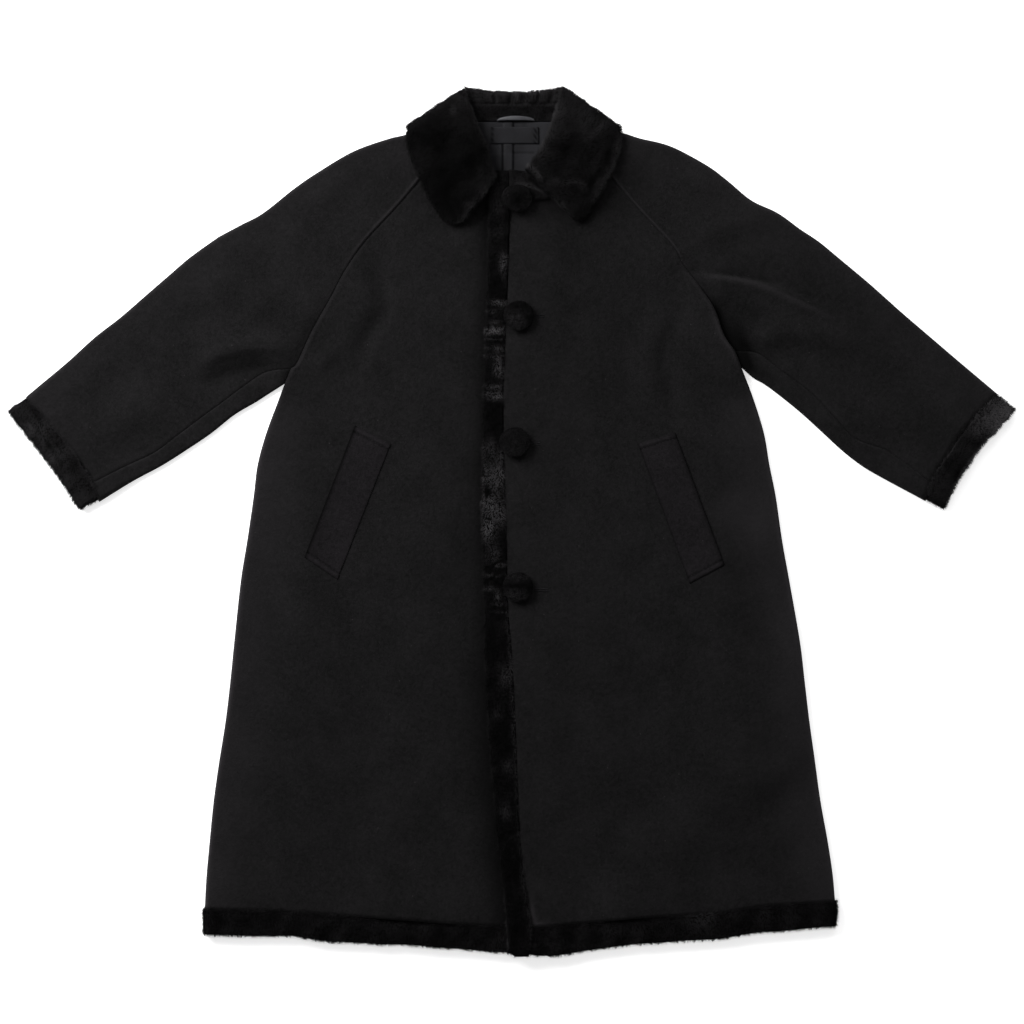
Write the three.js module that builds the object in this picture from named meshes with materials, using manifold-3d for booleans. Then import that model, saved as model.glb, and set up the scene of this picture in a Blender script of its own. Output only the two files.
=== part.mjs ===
// A long raglan wool coat with plush fur trim, buttoned and laid on its back.
// Millimetres. +X is the wearer's left, +Y runs to the collar, +Z rises from the surface it lies on.
// Cloth lies in layers, so a piece is a sheet over (x, y) whose height comes from what is under it.
import * as THREE from "three";
import { mergeVertices } from "three/addons/utils/BufferGeometryUtils.js";
import Module from "manifold-3d";

// Driving sizes
const wall = 3; // melton wool
const layerGap = 2.6; // air between the back of the coat and its front
const seam = 0.3; // between two pieces sewn edge to edge
const bandSeam = 0.6; // between wool and the fur band that binds it
const rest = 0.4; // between a piece and what it lies on
const fur = 6.5; // skin and pile of a fur band
const bandGap = 1.2; // between the two layers of a fur band
const standThick = 5.5; // gathered fur inside the back of the neck
const underEdgeX = 18; // front edge of the under front, hidden by the over front
const button = { radius: 19.5, height: 9, rim: 3, segments: 20, steps: 4 };
const frontStack = wall + layerGap + wall; // back, air and front
const bandTop = fur + bandGap + fur; // height of a doubled fur band

// Outline of the body, row by row from the armpits to the hem band
const sides = [
  { leftX: -284, leftY: 171, rightX: 288, rightY: 191 },
  { leftX: -292, leftY: 150, rightX: 302, rightY: 155 },
  { leftX: -307, leftY: 110, rightX: 316, rightY: 110 },
  { leftX: -318, leftY: 70, rightX: 323, rightY: 70 },
  { leftX: -323, leftY: 30, rightX: 331, rightY: 30 },
  { leftX: -331, leftY: -25, rightX: 339, rightY: -25 },
  { leftX: -339, leftY: -75, rightX: 348, rightY: -75 },
  { leftX: -347, leftY: -150, rightX: 361, rightY: -150 },
  { leftX: -352, leftY: -200, rightX: 367, rightY: -200 },
  { leftX: -358, leftY: -250, rightX: 373, rightY: -250 },
  { leftX: -366, leftY: -300, rightX: 380, rightY: -300 },
  { leftX: -373, leftY: -350, rightX: 387, rightY: -350 },
  { leftX: -378, leftY: -400, rightX: 396, rightY: -400 },
  { leftX: -382, leftY: -445, rightX: 402, rightY: -440 },
  { leftX: -384, leftY: -484, rightX: 405, rightY: -474 },
];

// Sleeves from neck to cuff: the edge over the arm, the seam in front (raglan, then underarm),
// and from the armpit on the folded edge under the arm. The raglan part has no under edge.
const raglanRows = 10;
const sleeveRight = [
  { overX: -71, overY: 500, seamX: -71, seamY: 478 },
  { overX: -102, overY: 489, seamX: -94, seamY: 450 },
  { overX: -134, overY: 478, seamX: -118, seamY: 421 },
  { overX: -155, overY: 480, seamX: -149, seamY: 386 },
  { overX: -200, overY: 461, seamX: -184, seamY: 348 },
  { overX: -244, overY: 435, seamX: -209, seamY: 312 },
  { overX: -273, overY: 415, seamX: -227, seamY: 278 },
  { overX: -311, overY: 385, seamX: -251, seamY: 235 },
  { overX: -339, overY: 370, seamX: -268, seamY: 198 },
  { overX: -367, overY: 355, seamX: -276, seamY: 190, underX: -284, underY: 171 },
  { overX: -402, overY: 330, seamX: -307, seamY: 186, underX: -306, underY: 157 },
  { overX: -430, overY: 306, seamX: -334, seamY: 169, underX: -320, underY: 148 },
  { overX: -460, overY: 280, seamX: -359, seamY: 150, underX: -347, underY: 132 },
  { overX: -490, overY: 254, seamX: -388, seamY: 129, underX: -376, underY: 109 },
  { overX: -521, overY: 230, seamX: -416, seamY: 108, underX: -404, underY: 90 },
  { overX: -554, overY: 200, seamX: -447, seamY: 85, underX: -437, underY: 69 },
  { overX: -580, overY: 178, seamX: -483, seamY: 68, underX: -474, underY: 49 },
  { overX: -606, overY: 156, seamX: -520, seamY: 50, underX: -512, underY: 26 },
];
const sleeveLeft = [
  { overX: 77, overY: 500, seamX: 82, seamY: 478 },
  { overX: 108, overY: 489, seamX: 106, seamY: 450 },
  { overX: 141, overY: 477, seamX: 128, seamY: 424 },
  { overX: 160, overY: 480, seamX: 167, seamY: 381 },
  { overX: 200, overY: 468, seamX: 201, seamY: 346 },
  { overX: 244, overY: 445, seamX: 216, seamY: 319 },
  { overX: 271, overY: 425, seamX: 234, seamY: 295 },
  { overX: 300, overY: 401, seamX: 254, seamY: 265 },
  { overX: 333, overY: 385, seamX: 266, seamY: 232 },
  { overX: 361, overY: 365, seamX: 280, seamY: 212, underX: 288, underY: 191 },
  { overX: 385, overY: 349, seamX: 308, seamY: 209, underX: 303, underY: 178 },
  { overX: 408, overY: 330, seamX: 337, seamY: 188, underX: 320, underY: 168 },
  { overX: 444, overY: 300, seamX: 376, seamY: 159, underX: 357, underY: 139 },
  { overX: 470, overY: 277, seamX: 404, seamY: 130, underX: 387, underY: 112 },
  { overX: 489, overY: 260, seamX: 428, seamY: 104, underX: 413, underY: 88 },
  { overX: 524, overY: 230, seamX: 452, seamY: 94, underX: 436, underY: 70 },
  { overX: 559, overY: 200, seamX: 474, seamY: 85, underX: 459, underY: 56 },
  { overX: 607, overY: 159, seamX: 522, seamY: 50, underX: 514, underY: 27 },
];

// Cuff bands from the over edge to the under edge: where the fur meets the wool, and its free edge
const cuffRight = [
  { inX: -606, inY: 156, outX: -632, outY: 138 },
  { inX: -580, inY: 128, outX: -607, outY: 106 },
  { inX: -556, inY: 98, outX: -582, outY: 74 },
  { inX: -535, inY: 70, outX: -560, outY: 43 },
  { inX: -512, inY: 26, outX: -541, outY: 12 },
];
const cuffLeft = [
  { inX: 607, inY: 159, outX: 632, outY: 140 },
  { inX: 584, inY: 136, outX: 609, outY: 114 },
  { inX: 562, inY: 111, outX: 588, outY: 92 },
  { inX: 545, inY: 84, outX: 570, outY: 65 },
  { inX: 528, inY: 58, outX: 554, outY: 40 },
  { inX: 514, inY: 27, outX: 541, outY: 12 },
];

// Hem band across the coat, and how far it stands out past the wool at the sides
const hem = [
  { x: -388, top: -484, bottom: -519 },
  { x: -288, top: -487, bottom: -522 },
  { x: -214, top: -492, bottom: -528 },
  { x: -139, top: -497, bottom: -533 },
  { x: -62, top: -503, bottom: -538 },
  { x: 0, top: -506, bottom: -542 },
  { x: 30, top: -506, bottom: -544 },
  { x: 79, top: -502, bottom: -541 },
  { x: 159, top: -495, bottom: -531 },
  { x: 254, top: -489, bottom: -524 },
  { x: 318, top: -480, bottom: -516 },
  { x: 409, top: -474, bottom: -508 },
];
const hemSide = { left: -388, right: 409 };

// Fur edge band of the over front, from neck to hem
const bandEdge = [
  { y: 424, left: -31, right: -1 },
  { y: 381, left: -29, right: -1 },
  { y: 280, left: -32, right: -4 },
  { y: 150, left: -36, right: -9 },
  { y: 20, left: -38, right: -6 },
  { y: -110, left: -35, right: -3 },
  { y: -155, left: -35, right: 1 },
  { y: -272, left: -29, right: 7 },
  { y: -331, left: -24, right: 9 },
  { y: -420, left: -16, right: 14 },
  { y: -479, left: -9, right: 22 },
  { y: -512, left: -7, right: 26 },
  { y: -546, left: -5, right: 23 },
];

// Collar sections from the rolled inner edge to the free outer edge. The leaves lie on the fronts;
// the fall lies behind the neck, on the surface, and joins them round the two shoulder folds.
const leafRight = [
  { inX: -18, inY: 428, outX: -58, outY: 374 },
  { inX: -20, inY: 434, outX: -76, outY: 371 },
  { inX: -25, inY: 443, outX: -92, outY: 384 },
  { inX: -27, inY: 455, outX: -108, outY: 410 },
  { inX: -30, inY: 467, outX: -119, outY: 436 },
  { inX: -37, inY: 482, outX: -128, outY: 456 },
  { inX: -46, inY: 506, outX: -132, outY: 472 },
];
const foldRight = { inX: -59, inY: 542, outX: -134, outY: 493 };
const leafLeft = [
  { inX: 16, inY: 438, outX: 78, outY: 375 },
  { inX: 22, inY: 445, outX: 92, outY: 376 },
  { inX: 27, inY: 452, outX: 104, outY: 396 },
  { inX: 32, inY: 459, outX: 114, outY: 412 },
  { inX: 37, inY: 467, outX: 124, outY: 431 },
  { inX: 44, inY: 481, outX: 134, outY: 450 },
  { inX: 53, inY: 506, outX: 139, outY: 468 },
];
const foldLeft = { inX: 64, inY: 544, outX: 140, outY: 491 };
const fallBack = [
  { inX: -42, inY: 527, outX: -100, outY: 466 },
  { inX: -22, inY: 524, outX: -50, outY: 458 },
  { inX: 3, inY: 522, outX: 3, outY: 455 },
  { inX: 28, inY: 524, outX: 56, outY: 458 },
  { inX: 48, inY: 528, outX: 106, outY: 467 },
];

// Inside of the neck
const neck = { centre: 3, seamY: 499, rollY: 536, rollRise: 6, halfWidth: 50 };
const gathers = { count: 7, depth: 1.6 };
const lining = { left: -52, right: 58, top: 498.5, bottom: 424, thick: 0.9 };
const label = { left: -26, right: 34, top: 492, bottom: 471, thick: 0.8 };
const loop = { left: -18, right: 29, top: 507, width: 6, thick: 1.2, arch: 2 };

// Welts by their corners, from the upper end to the lower
const weltRight = { top: [[-196, 119], [-151, 96]], end: [[-259, -46], [-218, -74]] };
const weltLeft = { top: [[158, 96], [204, 110]], end: [[223, -79], [266, -56]] };
const weltThick = 3;

const buttons = [
  { x: 7, y: 400 },
  { x: 9, y: 256 },
  { x: 4, y: 98 },
  { x: 8, y: -83 },
];

// Largest folds of the front, each a soft ridge along a line
const folds = [
  { height: 5, width: 20, line: [[244, 310], [294, 306], [329, 297], [379, 272], [404, 258]] },
  { height: 3, width: 18, line: [[300, 222], [345, 235], [400, 226]] },
  { height: 4, width: 18, line: [[-385, 192], [-349, 208], [-303, 214], [-272, 204]] },
  { height: 2, width: 26, line: [[-300, 250], [-340, 290], [-390, 300]] },
  { height: 3, width: 20, line: [[218, 269], [196, 240], [191, 205], [200, 170], [202, 142]] },
  { height: 2.5, width: 24, line: [[-200, 326], [-188, 280], [-168, 250], [-186, 205]] },
  { height: 2.5, width: 30, line: [[283, -354], [336, -310], [389, -264]] },
  { height: 2, width: 30, line: [[-250, -180], [-262, -300], [-275, -420]] },
];

const mix = (a, b, t) => a + (b - a) * t;
const mixPoint = (a, b, t) => a.map((value, axis) => mix(value, b[axis], t));
const smooth = (from, to, value) => THREE.MathUtils.smoothstep(value, from, to);
const quarter = Math.PI / 2;

// Value of one column of a table, straight between its rows
function lookUp(table, keyName, column, key) {
  const rising = table[0][keyName] < table[table.length - 1][keyName];
  const rows = rising ? table : [...table].reverse();
  let next = rows.findIndex((row) => row[keyName] > key);
  if (next === -1) next = rows.length - 1;
  if (next === 0) next = 1;
  const [low, high] = [rows[next - 1], rows[next]];
  const share = THREE.MathUtils.clamp((key - low[keyName]) / (high[keyName] - low[keyName]), 0, 1);
  return mix(low[column], high[column], share);
}

// Row of a table at a share of its length, straight between its rows
function rowAt(table, share) {
  const place = THREE.MathUtils.clamp(share, 0, 1) * (table.length - 1);
  const low = Math.min(Math.floor(place), table.length - 2);
  const entries = Object.keys(table[low]).map((name) => [
    name,
    mix(table[low][name], table[low + 1][name], place - low),
  ]);
  return Object.fromEntries(entries);
}

// Height of a soft ridge at (x, y): widest in the middle of its line and gone at its ends
function ridge(fold, x, y) {
  let best = 0;
  const parts = fold.line.length - 1;
  for (let i = 0; i < parts; i++) {
    const [[ax, ay], [bx, by]] = [fold.line[i], fold.line[i + 1]];
    const [dx, dy] = [bx - ax, by - ay];
    const share = THREE.MathUtils.clamp(((x - ax) * dx + (y - ay) * dy) / (dx * dx + dy * dy), 0, 1);
    const away = Math.hypot(x - ax - share * dx, y - ay - share * dy);
    const along = (i + share) / parts;
    const ends = smooth(0, 0.25, along) * smooth(0, 0.25, 1 - along);
    best = Math.max(best, fold.height * ends * Math.exp(-((away / fold.width) ** 2)));
  }
  return best;
}

// How far wool is raised to meet a doubled fur band, by its distance from the band
const bandRaise = 4;
const bandSlope = 70;
const nearBand = (distance) => bandRaise * (1 - smooth(0, bandSlope, distance));

function cuffDistance(cuff, x, y) {
  const [first, last] = [cuff[0], cuff[cuff.length - 1]];
  const [dx, dy] = [last.inX - first.inX, last.inY - first.inY];
  return Math.abs((x - first.inX) * dy - (y - first.inY) * dx) / Math.hypot(dx, dy);
}

// Underside of the back: on the surface, but over the collar's fall behind the neck
const neckEllipse = { y: 545, halfX: 190, halfY: 125, fade: 1.4 };
function backBottom(x, y) {
  const reach = Math.hypot(x / neckEllipse.halfX, (y - neckEllipse.y) / neckEllipse.halfY);
  return (fur + rest) * (1 - smooth(1, neckEllipse.fade, reach));
}

// Underside of the front layer
function frontBottom(x, y) {
  let height = backBottom(x, y) + wall + layerGap;
  height += nearBand(y - lookUp(hem, "x", "top", x));
  height += nearBand(cuffDistance(x < 0 ? cuffRight : cuffLeft, x, y));
  for (const fold of folds) height += ridge(fold, x, y);
  return height;
}
const frontTop = (x, y) => frontBottom(x, y) + wall;

// The over front lies on the under front, then comes down beside its edge
const overFade = { from: 34, to: 85 };
const overRest = 1.1; // the over front spans the under front's small dips
const overLift = (x) => (wall + overRest) * (1 - smooth(overFade.from, overFade.to, x));
const overTop = (x, y) => frontTop(x, y) + overLift(x);

// Highest point of a surface within a square about (x, y), so that a stiffer piece lies over its bumps
function highest(surface, x, y, reach) {
  const shifts = [-reach, 0, reach];
  return Math.max(...shifts.flatMap((dx) => shifts.map((dy) => surface(x + dx, y + dy))));
}

// Underside of the edge band, which passes over the under front's own hem band
const bandStiffness = 12;
function edgeBandBottom(x, y) {
  const hemRaise = bandTop - (frontStack + bandRaise) + rest;
  const overHem = 1 - smooth(0, bandSlope, y - lookUp(hem, "x", "top", x));
  return highest(frontTop, x, y, bandStiffness) + rest + hemRaise * overHem;
}

// Underside of a collar leaf: the right one also lies on the top of the edge band
const leafStiffness = 14;
const leafOverBand = { from: 4, to: 50 };
function leafBottom(x, y) {
  const wool = highest(x > 0 ? overTop : frontTop, x, y, leafStiffness) + rest;
  if (x > 0) return wool;
  const fromBand = lookUp(bandEdge, "y", "left", y) - x;
  return wool + (fur + rest) * (1 - smooth(leafOverBand.from, leafOverBand.to, fromBand));
}

// Closed solid between two grids of points of one size. A looped grid has its last row joined to its first.
function sheet(outer, inner, looped = false) {
  const rows = outer.length;
  const columns = outer[0].length;
  const positions = new Float32Array([outer, inner].flat(3));
  const at = (side, i, j) => (side * rows + (i % rows)) * columns + j;
  const faces = [];
  const quad = (a, b, c, d) => faces.push(a, b, c, a, c, d);
  const lastRow = looped ? rows : rows - 1;
  for (let i = 0; i < lastRow; i++) {
    for (let j = 0; j < columns - 1; j++) {
      quad(at(0, i, j), at(0, i + 1, j), at(0, i + 1, j + 1), at(0, i, j + 1));
      quad(at(1, i, j), at(1, i, j + 1), at(1, i + 1, j + 1), at(1, i + 1, j));
    }
    quad(at(0, i + 1, 0), at(0, i, 0), at(1, i, 0), at(1, i + 1, 0));
    quad(at(0, i, columns - 1), at(0, i + 1, columns - 1), at(1, i + 1, columns - 1), at(1, i, columns - 1));
  }
  for (let j = 0; j < columns - 1 && !looped; j++) {
    quad(at(0, 0, j), at(0, 0, j + 1), at(1, 0, j + 1), at(1, 0, j));
    quad(at(0, rows - 1, j + 1), at(0, rows - 1, j), at(1, rows - 1, j), at(1, rows - 1, j + 1));
  }
  const corner = (k) => new THREE.Vector3().fromArray(positions, faces[k] * 3);
  let volume = 0;
  for (let k = 0; k < faces.length; k += 3) volume += corner(k).dot(corner(k + 1).cross(corner(k + 2)));
  if (volume < 0) faces.reverse();
  const geometry = new THREE.BufferGeometry();
  geometry.setAttribute("position", new THREE.BufferAttribute(positions, 3));
  geometry.setIndex(faces);
  geometry.computeVertexNormals();
  return geometry;
}

// Sheet of even thickness about a grid of middle points, thinner at the ends of its rows and columns
function plush(middle, thick, { looped = false, endRows = true } = {}) {
  const rows = middle.length;
  const columns = middle[0].length;
  const edge = 0.55;
  const point = (i, j) => new THREE.Vector3(...middle[looped ? (i + rows) % rows : i][j]);
  const offset = (i, j) => {
    const alongRows = looped
      ? point(i + 1, j).sub(point(i - 1, j))
      : point(Math.min(i + 1, rows - 1), j).sub(point(Math.max(i - 1, 0), j));
    const across = point(i, Math.min(j + 1, columns - 1)).sub(point(i, Math.max(j - 1, 0)));
    const atEnd = j === 0 || j === columns - 1 || (!looped && endRows && (i === 0 || i === rows - 1));
    return alongRows.cross(across).normalize().multiplyScalar((thick / 2) * (atEnd ? edge : 1));
  };
  const side = (sign) =>
    middle.map((row, i) => row.map((_, j) => point(i, j).addScaledVector(offset(i, j), sign).toArray()));
  return sheet(side(1), side(-1), looped);
}

// Places across a fur band: close together at its edges, where the plush rounds over
const acrossBand = [0, 0.08, 0.5, 0.92, 1];

// Columns of a wool panel: the arc of a rolled edge at each side and even steps between
const arcSteps = [0, 0.45, 1];
function panelColumns(across) {
  const columns = arcSteps.map((arc) => ({ end: 0, arc }));
  for (let k = 1; k < across; k++) columns.push({ end: 0, share: k / across });
  return [...columns, ...[...arcSteps].reverse().map((arc) => ({ end: 1, arc }))];
}

// Wool panel between two edges given as rows of points. Where an edge is rolled it curves to half the
// height of the stack and meets the other layer there; elsewhere it ends half a seam short.
// bow(u) bends the first row and hang(u) the last; face is +1 for the front layer and -1 for the back.
function panel({ left, right, bow, hang, across, rollLeft, rollRight, face, lift = () => 0 }) {
  const [outer, inner] = [[], []];
  const last = left.length - 1;
  left.forEach((start, i) => {
    const finish = right[i];
    const width = Math.hypot(finish[0] - start[0], finish[1] - start[1]);
    const place = (distance) => {
      const u = distance / width;
      const first = (1 - i / last) ** 4;
      const final = (i / last) ** 4;
      const [bx, by] = bow(u);
      const [hx, hy] = hang(u);
      const [x, y] = mixPoint(start, finish, u);
      return [x + bx * first + hx * final, y + by * first + hy * final];
    };
    const stack = (point) => frontTop(...point) + lift(...point) - backBottom(...point);
    const radii = [start, finish].map((point) => stack(point) / 2);
    const rolls = [rollLeft(i), rollRight(i)];
    const [outerRow, innerRow] = [[], []];
    for (const { end, arc, share } of panelColumns(across)) {
      const radius = radii[end];
      const roll = share === undefined ? rolls[end] : 0;
      const angle = share === undefined ? arc * quarter : quarter;
      const short = (seam / 2) * (1 - rolls[end]) * (1 - Math.sin(angle));
      const outReach = radius * (1 - Math.cos(angle)) + short;
      const inReach = mix(outReach, radius - (radius - wall) * Math.cos(angle), roll);
      const fromStart = (reach) => (end ? width - reach : reach);
      const middle = mix(radii[0], width - radii[1], share);
      const [outAt, inAt] = [outReach, inReach].map((reach) =>
        place(share === undefined ? fromStart(reach) : middle),
      );
      const drop = roll * (radius - seam / 2) * (1 - Math.sin(angle));
      const turn = (radius - wall) * Math.sin(angle) + (seam / 2) * (1 - Math.sin(angle));
      const ground = backBottom(...inAt);
      if (face > 0) {
        outerRow.push([...outAt, frontTop(...outAt) + lift(...outAt) - drop]);
        innerRow.push([...inAt, mix(frontBottom(...inAt) + lift(...inAt), ground + radius + turn, roll)]);
      } else {
        outerRow.push([...outAt, backBottom(...outAt) + drop]);
        innerRow.push([...inAt, mix(ground + wall, ground + radius - turn, roll)]);
      }
    }
    outer.push(outerRow);
    inner.push(innerRow);
  });
  return sheet(outer, inner);
}

const noBend = () => [0, 0];
const flatEdge = () => 0;

// Body edges: the raglan seam, then the side
const raglan = (sleeve) => sleeve.slice(0, raglanRows).map((row) => [row.seamX, row.seamY]);
const leftBody = [...raglan(sleeveRight), ...sides.map((row) => [row.leftX, row.leftY])];
const rightBody = [...raglan(sleeveLeft), ...sides.map((row) => [row.rightX, row.rightY])];
const bodyRoll = (i) => smooth(raglanRows, raglanRows + 2, i);

// Hem of a panel: the band's upper edge, as an offset from the straight line between the panel's corners
function hangFrom(start, finish) {
  return (u) => {
    const [x, y] = mixPoint(start, finish, u);
    return [0, lookUp(hem, "x", "top", x) + bandSeam - y];
  };
}

// Inner edge of a front, spaced like the rows of its outer edge
function centreEdge(outerEdge, topY, bottomY, xAt) {
  const [first, last] = [outerEdge[0][1], outerEdge[outerEdge.length - 1][1]];
  return outerEdge.map(([, y]) => {
    const at = mix(topY, bottomY, (first - y) / (first - last));
    return [xAt(at), at];
  });
}

const neckBow = (depth) => (u) => [0, -depth * 4 * u * (1 - u)];

function makeBack() {
  return panel({
    left: leftBody,
    right: rightBody,
    bow: (u) => [0, (neck.seamY - seam - leftBody[0][1]) * (1 - Math.abs(2 * u - 1) ** 5)],
    hang: hangFrom(leftBody[leftBody.length - 1], rightBody[rightBody.length - 1]),
    across: 14,
    rollLeft: bodyRoll,
    rollRight: bodyRoll,
    face: -1,
  });
}

function makeFrontRight() {
  const right = centreEdge(leftBody, 419, lookUp(hem, "x", "top", underEdgeX), () => underEdgeX);
  return panel({
    left: leftBody,
    right,
    bow: neckBow(15),
    hang: hangFrom(leftBody[leftBody.length - 1], right[right.length - 1]),
    across: 8,
    rollLeft: bodyRoll,
    rollRight: flatEdge,
    face: 1,
  });
}

function makeFrontLeft() {
  const left = centreEdge(rightBody, 428, lookUp(hem, "x", "top", 26), (y) => lookUp(bandEdge, "y", "right", y));
  return panel({
    left,
    right: rightBody,
    bow: neckBow(17),
    hang: hangFrom(left[left.length - 1], rightBody[rightBody.length - 1]),
    across: 8,
    rollLeft: flatEdge,
    rollRight: bodyRoll,
    face: 1,
    lift: overLift,
  });
}

// The sleeve's end, drawn back from the cuff band by the band seam
function cuffEnd(sleeve, cuff, column) {
  const toShoulder = Math.sign(-cuff[0].inX) * bandSeam;
  const row = sleeve[sleeve.length - 1];
  const [x, y] = [row[column + "X"], row[column + "Y"]];
  return [x + toShoulder * 0.8, y + bandSeam * 0.6];
}

// Offset that carries the straight end of a sleeve piece onto the curved edge of its cuff
function cuffCurve(cuff, start, finish) {
  const reach = Math.abs(finish[1] - cuff[0].inY) / Math.abs(cuff[cuff.length - 1].inY - cuff[0].inY);
  return (u) => {
    const row = rowAt(cuff, u * reach);
    const straight = mixPoint([rowAt(cuff, 0).inX, rowAt(cuff, 0).inY], endOf(cuff, reach), u);
    return [row.inX - straight[0], row.inY - straight[1]];
  };
}
const endOf = (cuff, reach) => [rowAt(cuff, reach).inX, rowAt(cuff, reach).inY];

function makeSleeveFront(sleeve, cuff) {
  const over = sleeve.map((row) => [row.overX, row.overY]);
  const under = sleeve.map((row) => [row.seamX, row.seamY]);
  over[over.length - 1] = cuffEnd(sleeve, cuff, "over");
  under[under.length - 1] = cuffEnd(sleeve, cuff, "seam");
  return panel({
    left: over,
    right: under,
    bow: noBend,
    hang: cuffCurve(cuff, over[over.length - 1], under[under.length - 1]),
    across: 8,
    rollLeft: () => 1,
    rollRight: flatEdge,
    face: 1,
  });
}

// Back of a sleeve: a flat piece behind, joined to the part that rolls round under the arm to the seam
const underLap = { flat: 10, rolled: 20 };
function makeSleeveBack(sleeve, cuff) {
  const over = sleeve.map((row) => [row.overX, row.overY]);
  const inward = (row) => {
    const [dx, dy] = [row.seamX - row.underX, row.seamY - row.underY];
    return [dx / Math.hypot(dx, dy), dy / Math.hypot(dx, dy)];
  };
  const step = (point, direction, distance) => point.map((value, axis) => value + direction[axis] * distance);
  const under = sleeve.map((row, i) =>
    i < raglanRows ? [row.seamX, row.seamY] : step([row.underX, row.underY], inward(row), underLap.flat),
  );
  const last = sleeve.length - 1;
  over[last] = cuffEnd(sleeve, cuff, "over");
  under[last] = step(cuffEnd(sleeve, cuff, "under"), inward(sleeve[last]), underLap.flat);
  const behind = panel({
    left: over,
    right: under,
    bow: noBend,
    hang: cuffCurve(cuff, over[last], under[last]),
    across: 5,
    rollLeft: () => 1,
    rollRight: flatEdge,
    face: -1,
  });
  const armpitClear = 0.03; // share of the first step that parts the rolled piece from the body
  const wrapRows = sleeve.slice(raglanRows - 1);
  wrapRows[0] = rowAt(wrapRows.slice(0, 2), armpitClear);
  const [outer, inner] = [[], []];
  wrapRows.forEach((row, i) => {
    const atCuff = i === wrapRows.length - 1;
    const edge = atCuff ? cuffEnd(sleeve, cuff, "under") : [row.underX, row.underY];
    const depth = Math.hypot(row.seamX - row.underX, row.seamY - row.underY) - seam / 2;
    const direction = inward(row);
    const place = (distance) => step(edge, direction, distance);
    const radius = (frontTop(...edge) - backBottom(...edge)) / 2;
    const ground = backBottom(...edge);
    const outerRow = [[...place(underLap.rolled), ground]];
    const innerRow = [[...place(underLap.rolled), ground + wall]];
    for (let k = 0; k <= 4; k++) {
      const angle = mix(-quarter, quarter, k / 4);
      const put = (r) => [...place(radius - r * Math.cos(angle)), ground + radius + r * Math.sin(angle)];
      outerRow.push(put(radius));
      innerRow.push(put(radius - wall));
    }
    for (const distance of [mix(radius, depth, 0.5), depth]) {
      outerRow.push([...place(distance), frontTop(...place(distance))]);
      innerRow.push([...place(distance), frontBottom(...place(distance))]);
    }
    outer.push(outerRow);
    inner.push(innerRow);
  });
  return joined(behind, sheet(outer, inner));
}

// Fur cuff: a closed band, flattened, that turns round at both edges of the sleeve
function makeCuff(cuff) {
  const radius = bandTop / 2;
  const middleRadius = radius - fur / 2;
  const [first, last] = [cuff[0], cuff[cuff.length - 1]];
  const length = Math.hypot(last.inX - first.inX, last.inY - first.inY);
  const stations = [];
  const flat = 8;
  for (let k = 0; k <= flat; k++) stations.push({ at: mix(radius, length - radius, k / flat), angle: quarter });
  for (const angle of [0.5, 0, -0.5]) {
    stations.push({ at: length - radius + middleRadius * Math.cos(angle * quarter), angle: angle * quarter });
  }
  for (let k = flat; k >= 0; k--) stations.push({ at: mix(radius, length - radius, k / flat), angle: -quarter });
  for (const angle of [-0.5, 0, 0.5]) {
    stations.push({ at: radius - middleRadius * Math.cos(angle * quarter), angle: angle * quarter });
  }
  const middle = stations.map(({ at, angle }) => {
    const row = rowAt(cuff, at / length);
    return acrossBand.map((share) => [
      mix(row.inX, row.outX, share),
      mix(row.inY, row.outY, share),
      radius + middleRadius * Math.sin(angle),
    ]);
  });
  return plush(middle, fur, { looped: true });
}

// Hem band: from the under front's edge round one side, across the back, round the other side and along
// the over front to the edge band
const hemStep = 34;
function makeHemBand() {
  const radius = bandTop / 2;
  const middleRadius = radius - fur / 2;
  const overStart = 26.6;
  const leftTurn = hemSide.left + radius;
  const rightTurn = hemSide.right - radius;
  const overRaise = (x) => 4 * (1 - smooth(overStart, 95, x));
  const stations = [];
  const run = (from, to, height) => {
    const count = Math.round(Math.abs(to - from) / hemStep);
    for (let k = 0; k <= count; k++) {
      const x = mix(from, to, k / count);
      stations.push({ x, z: height(x) });
    }
  };
  const turn = (centre, sign, from, to) => {
    for (const share of [0.25, 0.5, 0.75]) {
      const angle = mix(from, to, share);
      const reach = middleRadius * Math.cos(angle);
      stations.push({ x: centre + sign * reach, z: radius + middleRadius * Math.sin(angle) });
    }
  };
  run(underEdgeX, leftTurn, () => radius + middleRadius);
  turn(leftTurn, -1, quarter, -quarter);
  run(leftTurn, rightTurn, () => radius - middleRadius);
  turn(rightTurn, 1, -quarter, quarter);
  run(rightTurn, overStart, (x) => radius + middleRadius + overRaise(x));
  const middle = stations.map(({ x, z }) =>
    acrossBand.map((share) => [x, mix(lookUp(hem, "x", "top", x), lookUp(hem, "x", "bottom", x), share), z]),
  );
  return plush(middle, fur);
}

function makeEdgeBand() {
  const rows = 26;
  const [top, bottom] = [bandEdge[0].y, bandEdge[bandEdge.length - 1].y];
  const middle = [];
  for (let k = 0; k <= rows; k++) {
    const y = mix(top, bottom, k / rows);
    const [left, right] = ["left", "right"].map((side) => lookUp(bandEdge, "y", side, y));
    middle.push(
      acrossBand.map((share) => {
        const x = mix(left + seam, right - seam, share);
        return [x, y, edgeBandBottom(x, y) + fur / 2];
      }),
    );
  }
  return plush(middle, fur);
}

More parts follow.
